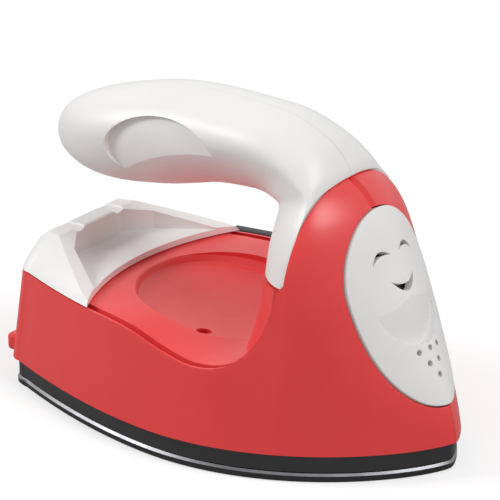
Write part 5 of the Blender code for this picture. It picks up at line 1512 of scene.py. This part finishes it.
def noise(tree, place, spacing, detail=FINE_DETAIL):
    """A cloudy value over a spacing in millimetres."""
    cloud = add_node(
        tree, "ShaderNodeTexNoise", {"Vector": place}, Scale=1 / spacing, Detail=detail
    )
    return cloud.outputs["Fac"]


def mottled(tree, place, first, second, spacing):
    """A soft change between two colours over a spacing in millimetres."""
    cloud = noise(tree, place, spacing, COLOUR_DETAIL)
    ramp = add_node(tree, "ShaderNodeValToRGB", {"Fac": cloud})
    ends = zip(ramp.color_ramp.elements, (COLOUR_LOW, COLOUR_HIGH), (first, second))
    for end, position, colour in ends:
        end.position = position
        end.color = linear(colour)
    return ramp.outputs["Color"]


def grained(tree, place, spacing, depth):
    """A bump of fine grain: spacing and depth in millimetres."""
    grain = noise(tree, place, spacing)
    reach = depth / MILLIMETRES
    bump = add_node(tree, "ShaderNodeBump", {"Height": grain}, Strength=1.0, Distance=reach)
    return bump.outputs["Normal"]


def varied(tree, place, spacing, low, high):
    """A value that drifts between two limits over a spacing in millimetres."""
    cloud = noise(tree, place, spacing)
    span = add_node(tree, "ShaderNodeMapRange", {"Value": cloud}, To_Min=low, To_Max=high)
    return span.outputs["Result"]


def moulded(name, first, second, rough, grain, depth, ior=1.54, **settings):
    """A moulded plastic: slight drift of colour and gloss and a fine moulded grain."""
    look, tree, shader, place = new_look(name)
    colour = mottled(tree, place, first, second, MOULDED_COLOUR_SPACING)
    tree.links.new(colour, shader.inputs["Base Color"])
    gloss = varied(tree, place, MOULDED_GLOSS_SPACING, *rough)
    tree.links.new(gloss, shader.inputs["Roughness"])
    tree.links.new(grained(tree, place, grain, depth), shader.inputs["Normal"])
    shader.inputs["IOR"].default_value = ior
    for key, value in settings.items():
        socket(shader, key).default_value = value
    look.diffuse_color = linear(first)
    return look


def metal(name, first, second, rough, stretch=(1.0, 1.0, 1.0)):
    """A metal with a worked surface: grain stretched along its working direction."""
    look, tree, shader, place = new_look(name)
    drawn = add_node(tree, "ShaderNodeVectorMath", {"i0": place}, operation="MULTIPLY", i1=stretch)
    drawn = drawn.outputs[0]
    colour = mottled(tree, place, first, second, METAL_COLOUR_SPACING)
    tree.links.new(colour, shader.inputs["Base Color"])
    gloss = varied(tree, drawn, METAL_GLOSS_SPACING, *rough)
    tree.links.new(gloss, shader.inputs["Roughness"])
    grain = grained(tree, drawn, METAL_GRAIN, METAL_GRAIN_DEPTH)
    tree.links.new(grain, shader.inputs["Normal"])
    shader.inputs["Metallic"].default_value = 1.0
    look.diffuse_color = linear(first)
    return look


def make_looks():
    """Every finish of the object, by its slot."""
    looks = {}
    # Moulded ABS, polished tool: a deep even red whose wide soft sheen turns it pink in the light
    looks["red_plastic"] = moulded(
        "moulded glossy ABS, red", "#e62f30", "#e93435", (0.34, 0.42), 1.2, 0.004,
        Coat_Weight=0.3, Coat_Roughness=0.35,
    )
    # The same ABS in the deck's own moulding, a little more satin so the dish reads softly; its
    # base colour is painted a touch lighter and pinker than the body's red, a painted sheen on the
    # deck that faces up
    looks["deck_red_plastic"] = moulded(
        "moulded satin ABS, red", "#e83738", "#ec3d3d", (0.42, 0.5), 1.0, 0.005,
        Coat_Weight=0.4, Coat_Roughness=0.4,
    )
    # Moulded ABS, white: bright, faintly warm, with a soft satin highlight
    looks["white_plastic"] = moulded(
        "moulded satin ABS, white", "#eae9e7", "#edecea", (0.36, 0.44), 1.0, 0.004,
        Coat_Weight=0.1, Coat_Roughness=0.35,
    )
    # Cast aluminium with a baked non-stick coat: nearly black, low grain that breaks highlights
    looks["sole_coat"] = moulded(
        "cast aluminium, baked non-stick coat", "#171518", "#1b191c", (0.36, 0.46), 0.5, 0.0012,
        ior=1.42, Coat_Weight=0.3, Coat_Roughness=0.25,
    )
    # Bare machined aluminium on the chamfer: a thin bright line round the plate
    looks["chamfer"] = metal(
        "machined aluminium chamfer", "#7d7e81", "#6d6e71", (0.3, 0.42), (0.2, 0.2, 3.0)
    )
    # Moulded phenolic: slate black, matt with a soft grey highlight
    looks["phenolic"] = moulded(
        "moulded phenolic, slate black", "#131415", "#0e0f10", (0.42, 0.55), 0.6, 0.01, ior=1.6
    )
    # Moulded nylon with a spark-eroded texture for grip
    looks["switch_slate"] = moulded(
        "spark-eroded nylon, slate", "#2a2d2f", "#34373a", (0.5, 0.6), 0.25, 0.012, ior=1.53
    )
    # Moulded nylon, black: the lever and the clamp, barely shiny
    looks["nylon_black"] = moulded(
        "moulded nylon, black", "#17181a", "#1f2022", (0.45, 0.55), 0.5, 0.006
    )
    # Moulded rubber: black, dull, faintly grey on edges
    looks["rubber_black"] = moulded(
        "moulded rubber, black", "#161617", "#1e1e1f", (0.68, 0.8), 0.4, 0.012, ior=1.5
    )
    # Smoked acrylic: dark and glossy behind the slots
    looks["diffuser"] = moulded(
        "moulded acrylic, smoked", "#1c1416", "#241a1c", (0.12, 0.2), 2.0, 0.001, ior=1.49
    )
    # Glass-fibre laminate under green solder mask: semi-gloss, fine woven waviness
    looks["board"] = moulded(
        "glass-fibre board, green solder mask", "#14532f", "#1a5f38", (0.3, 0.4), 0.5, 0.006,
        ior=1.5,
    )
    # Cast clear epoxy lamps, tinted amber red
    looks["lamp_lens"] = moulded(
        "cast epoxy, clear red", "#d8402c", "#e0503a", (0.08, 0.14), 2.0, 0.001, ior=1.5,
        Transmission_Weight=0.4,
    )
    # Pressed mica paper: layered gold-brown flakes with a soft pearly gloss
    looks["mica"] = moulded(
        "pressed mica paper", "#b89c6c", "#8f7448", (0.35, 0.55), 0.8, 0.02, ior=1.58
    )
    # Ceramic fibre felt: matted off-white fibres, fully matt
    looks["felt"] = moulded(
        "pressed ceramic fibre felt", "#dedcd3", "#cbc8bd", (0.9, 1.0), 0.3, 0.08, ior=1.45
    )
    # Zinc-plated steel: cool grey with a fine drawn grain
    looks["steel"] = metal("pressed steel, zinc plated", "#b9bbc0", "#a3a6ac", (0.26, 0.4))
    # Drawn aluminium cap of the thermostat
    looks["thermostat_metal"] = metal(
        "deep-drawn aluminium", "#d4d5d7", "#c6c7ca", (0.22, 0.34), (1.0, 1.0, 3.0)
    )
    # Moulded phenolic, brown: the thermostat's body
    looks["thermostat_brown"] = moulded(
        "moulded phenolic, brown", "#4a2c1c", "#3c2417", (0.4, 0.52), 0.6, 0.01, ior=1.6
    )
    # Pressed and fired steatite: chalky white ceramic
    looks["fuse_ceramic"] = moulded(
        "fired steatite, unglazed", "#e2ddd0", "#d6d0c2", (0.7, 0.85), 0.3, 0.01, ior=1.6
    )
    # Moulded natural nylon: milky cream, slightly see-through at its edges
    looks["terminal_nylon"] = moulded(
        "moulded nylon, natural", "#e6e1d2", "#ddd7c5", (0.4, 0.5), 0.8, 0.006,
        Subsurface_Weight=0.15, Subsurface_Scale=0.001,
    )
    # Extruded silicone sleeves on the leads: soft satin, faint extrusion lines
    for word, first, second in (
        ("red", "#b0342c", "#a02c26"), ("black", "#26262a", "#2e2e32"),
        ("white", "#dddbd2", "#d0cec4"), ("blue", "#2d5a9c", "#264e8a"),
    ):
        looks[f"lead_{word}"] = moulded(
            f"extruded silicone, {word}", first, second, (0.45, 0.6), 0.3, 0.006, ior=1.41
        )
    return looks


LOOKS = {}


def look(slot):
    """The finish of a slot; all are made on first use."""
    if not LOOKS:
        LOOKS.update(make_looks())
    return LOOKS[slot]


# What a user may change, and one operator for each piece or group

CHAMFER_LEVEL = 0.9


class HeatPressSettings(bpy.types.PropertyGroup):
    """The edges, lights and floor that a user may change"""

    edge_round: bpy.props.FloatProperty(
        name="Edge rounding", description="Radius on the visible rims of the mouldings",
        default=0.0002, min=0.0, max=0.0006, unit="LENGTH", precision=5,
    )
    key_power: bpy.props.FloatProperty(
        name="Key light", description="Power of the large soft light", default=8.0, unit="POWER"
    )
    fill_power: bpy.props.FloatProperty(
        name="Fill light", description="Power of the light from above the front", default=6.0,
        unit="POWER",
    )
    floor_colour: bpy.props.FloatVectorProperty(
        name="Floor colour", description="Colour of the floor", subtype="COLOR", size=4,
        default=(0.5, 0.5, 0.5, 1.0), min=0.0, max=1.0,
    )


def settings():
    return bpy.context.scene.heat_press


class HeatPressSole(bpy.types.Operator):
    """Builds the soleplate with its bright chamfer"""

    bl_idname = "heat_press.sole"
    bl_label = "Soleplate"

    def execute(self, context):
        plate = settle(make_soleplate())
        stand_for(plate, "soleplate", "sole_coat")
        plate.data.materials.append(look("chamfer"))
        for face in plate.data.polygons:
            level = face.center.z
            edge = SOLE_THICKNESS - SOLE_EDGE < level < SOLE_THICKNESS
            face.material_index = 1 if edge and abs(face.normal.z) < CHAMFER_LEVEL else 0
        return {"FINISHED"}


class HeatPressBand(bpy.types.Operator):
    """Builds the insulator band"""

    bl_idname = "heat_press.band"
    bl_label = "Insulator band"

    def execute(self, context):
        stand_for(settle(make_band()), "insulator_band", "phenolic")
        return {"FINISHED"}


class HeatPressBody(bpy.types.Operator):
    """Builds the two red body halves"""

    bl_idname = "heat_press.body"
    bl_label = "Body halves"

    def execute(self, context):
        for side, name in ((-1, "body_right"), (1, "body_left")):
            shell = settle(make_shell(side, name), settings().edge_round)
            stand_for(shell, name, "red_plastic")
        return {"FINISHED"}


class HeatPressDeck(bpy.types.Operator):
    """Builds the deck with the finger dish and the neck's foot"""

    bl_idname = "heat_press.deck"
    bl_label = "Deck"

    def execute(self, context):
        deck = settle(make_deck(), settings().edge_round)
        # The deck's red carries a painted sheen: a touch lighter and pinker than the body's
        stand_for(deck, "deck", "deck_red_plastic")
        return {"FINISHED"}


class HeatPressCover(bpy.types.Operator):
    """Builds the white rear cover"""

    bl_idname = "heat_press.cover"
    bl_label = "Rear cover"

    def execute(self, context):
        stand_for(settle(make_cover()), "rear_cover", "white_plastic")
        return {"FINISHED"}


class HeatPressHandle(bpy.types.Operator):
    """Builds the two white handle halves"""

    bl_idname = "heat_press.handle"
    bl_label = "Handle halves"

    def execute(self, context):
        for side, name in ((-1, "handle_right"), (1, "handle_left")):
            half = settle(make_handle(side, name), settings().edge_round)
            stand_for(half, name, "white_plastic")
        return {"FINISHED"}


class HeatPressPlate(bpy.types.Operator):
    """Builds the oval front plate with its slots, scoop and vents"""

    bl_idname = "heat_press.plate"
    bl_label = "Front plate"

    def execute(self, context):
        plate = settle(make_plate(), settings().edge_round)
        stand_for(plate, "front_plate", "white_plastic")
        return {"FINISHED"}


class HeatPressSwitch(bpy.types.Operator):
    """Builds the ribbed slide button"""

    bl_idname = "heat_press.button"
    bl_label = "Slide button"

    def execute(self, context):
        button = settle(make_button())
        stand_for(button, "switch_button", "switch_slate", "switch")
        return {"FINISHED"}


class HeatPressGland(bpy.types.Operator):
    """Builds the cord gland"""

    bl_idname = "heat_press.gland"
    bl_label = "Cord gland"

    def execute(self, context):
        stand_for(settle(make_gland()), "cord_gland", "rubber_black")
        return {"FINISHED"}


class HeatPressInside(bpy.types.Operator):
    """Gives the carried-over solids their finishes"""

    bl_idname = "heat_press.inside"
    bl_label = "Inner parts and screws"

    def execute(self, context):
        for subpart in frame["record"]["subparts"]:
            solid = frame["nodes"][subpart["node"]]
            if not solid.material_slots:
                solid.data.materials.append(None)
            for place in solid.material_slots:
                place.material = look(subpart["material_slot"])
        return {"FINISHED"}


# Stage: the camera stands where the photograph was taken from

CAMERA_PLACE = (0.32777, -0.44166, 0.26614)
CAMERA_AIM = (-0.002971, 0.002744, 0.035338)
CAMERA_LENS = 197.9
SENSOR = 36.0
FLOOR_SIZE = 6.0
FLOOR_DROP = 0.00002
KEY_PLACE = (-0.9, -0.6, 0.8)
FILL_PLACE = (0.7, 0.0, 0.95)
KEY_SIZE = 0.5
FILL_SIZE = 0.6
ROOM_LIGHT = 0.42
FLOOR_GLOW = 0.56
LIGHT_AIM = (0.0, 0.0, 0.03)
NEAREST_SEEN = 0.01
WHITE = (1.0, 1.0, 1.0, 1.0)


def add_light(name, place, size, power):
    lamp = bpy.data.lights.new(name, "AREA")
    lamp.shape = "DISK"
    lamp.size = size
    lamp.energy = power
    made = bpy.data.objects.new(name, lamp)
    bpy.context.scene.collection.objects.link(made)
    made.location = place
    aim = Vector(LIGHT_AIM) - Vector(place)
    made.rotation_euler = aim.to_track_quat("-Z", "Y").to_euler()


def add_camera():
    lens = bpy.data.cameras.new("camera")
    lens.lens = CAMERA_LENS
    lens.sensor_width = SENSOR
    lens.clip_start = NEAREST_SEEN
    made = bpy.data.objects.new("camera", lens)
    bpy.context.scene.collection.objects.link(made)
    made.location = CAMERA_PLACE
    aim = Vector(CAMERA_AIM) - Vector(CAMERA_PLACE)
    made.rotation_euler = aim.to_track_quat("-Z", "Y").to_euler()
    bpy.context.scene.camera = made


def add_world():
    """White to the camera and in reflections, weak and even as light."""
    world = bpy.data.worlds.new("studio")
    bpy.context.scene.world = world
    world.use_nodes = True
    tree = world.node_tree
    tree.nodes.clear()
    rays = add_node(tree, "ShaderNodeLightPath")
    plain = add_node(tree, "ShaderNodeBackground", Color=WHITE, Strength=1.0)
    soft = add_node(tree, "ShaderNodeBackground", Color=WHITE, Strength=ROOM_LIGHT)
    bright = add_node(
        tree,
        "ShaderNodeMath",
        {"i0": rays.outputs["Is Camera Ray"], "i1": rays.outputs["Is Glossy Ray"]},
        operation="ADD",
    )
    shown = add_node(
        tree,
        "ShaderNodeMath",
        {"i0": bright.outputs[0], "i1": rays.outputs["Is Transmission Ray"]},
        operation="ADD",
        use_clamp=True,
    )
    seen = add_node(
        tree,
        "ShaderNodeMixShader",
        {"i0": shown.outputs[0], "i1": soft.outputs[0], "i2": plain.outputs[0]},
    )
    add_node(tree, "ShaderNodeOutputWorld", {"i0": seen.outputs[0]})


def floor_look():
    """Matt white paper that the camera sees as white with a shadow, and clear from below."""
    look = bpy.data.materials.new("matt white paper")
    look.use_nodes = True
    tree = look.node_tree
    shader = tree.nodes["Principled BSDF"]
    shader.inputs["Base Color"].default_value = settings().floor_colour
    shader.inputs["Roughness"].default_value = 1.0
    shader.inputs["Specular IOR Level"].default_value = 0.0
    rays = add_node(tree, "ShaderNodeLightPath")
    glow = add_node(tree, "ShaderNodeEmission", Color=WHITE)
    camera_ray = rays.outputs["Is Camera Ray"]
    lift = add_node(tree, "ShaderNodeMath", {"i0": camera_ray}, operation="MULTIPLY", i1=FLOOR_GLOW)
    tree.links.new(lift.outputs[0], glow.inputs["Strength"])
    both = add_node(tree, "ShaderNodeAddShader", {"i0": shader.outputs[0], "i1": glow.outputs[0]})
    sides = add_node(tree, "ShaderNodeNewGeometry")
    clear = add_node(tree, "ShaderNodeBsdfTransparent")
    seen = add_node(
        tree,
        "ShaderNodeMixShader",
        {"i0": sides.outputs["Backfacing"], "i1": both.outputs[0], "i2": clear.outputs[0]},
    )
    out = next(node for node in tree.nodes if node.bl_idname == "ShaderNodeOutputMaterial")
    tree.links.new(seen.outputs[0], out.inputs["Surface"])
    return look


class HeatPressStage(bpy.types.Operator):
    """Sets the floor, the lights, the backdrop and the camera"""

    bl_idname = "heat_press.stage"
    bl_label = "Stage"

    def execute(self, context):
        shape = bmesh.new()
        bmesh.ops.create_grid(shape, x_segments=1, y_segments=1, size=FLOOR_SIZE)
        floor = add_object("floor", mesh_from(shape, "floor"), "stage")
        floor.location.z = -FLOOR_DROP
        floor.data.materials.append(floor_look())
        add_light("key light", KEY_PLACE, KEY_SIZE, settings().key_power)
        add_light("fill light", FILL_PLACE, FILL_SIZE, settings().fill_power)
        add_world()
        add_camera()
        context.scene.view_settings.view_transform = "Standard"
        return {"FINISHED"}


class HeatPressPanel(bpy.types.Panel):
    """Lists the pieces and the sizes that may be changed"""

    bl_label = "Heat press"
    bl_idname = "VIEW3D_PT_heat_press"
    bl_space_type = "VIEW_3D"
    bl_region_type = "UI"
    bl_category = "Heat press"

    def draw(self, context):
        for name in ("edge_round", "key_power", "fill_power", "floor_colour"):
            self.layout.prop(context.scene.heat_press, name)
        for step in STEPS:
            self.layout.operator(step.bl_idname)


STEPS = (
    HeatPressStage,
    HeatPressSole,
    HeatPressBand,
    HeatPressBody,
    HeatPressDeck,
    HeatPressCover,
    HeatPressHandle,
    HeatPressPlate,
    HeatPressSwitch,
    HeatPressGland,
    HeatPressInside,
)
CLASSES = (HeatPressSettings, *STEPS, HeatPressPanel)


def register():
    for item in CLASSES:
        bpy.utils.register_class(item)
    bpy.types.Scene.heat_press = bpy.props.PointerProperty(type=HeatPressSettings)


def unregister():
    del bpy.types.Scene.heat_press
    for item in reversed(CLASSES):
        bpy.utils.unregister_class(item)


def main():
    register()
    for step in STEPS:
        group, name = step.bl_idname.split(".")
        getattr(getattr(bpy.ops, group), name)()


def plain(box):
    return [[float(value) for value in corner] for corner in box]


if __name__ == "__main__":
    main()
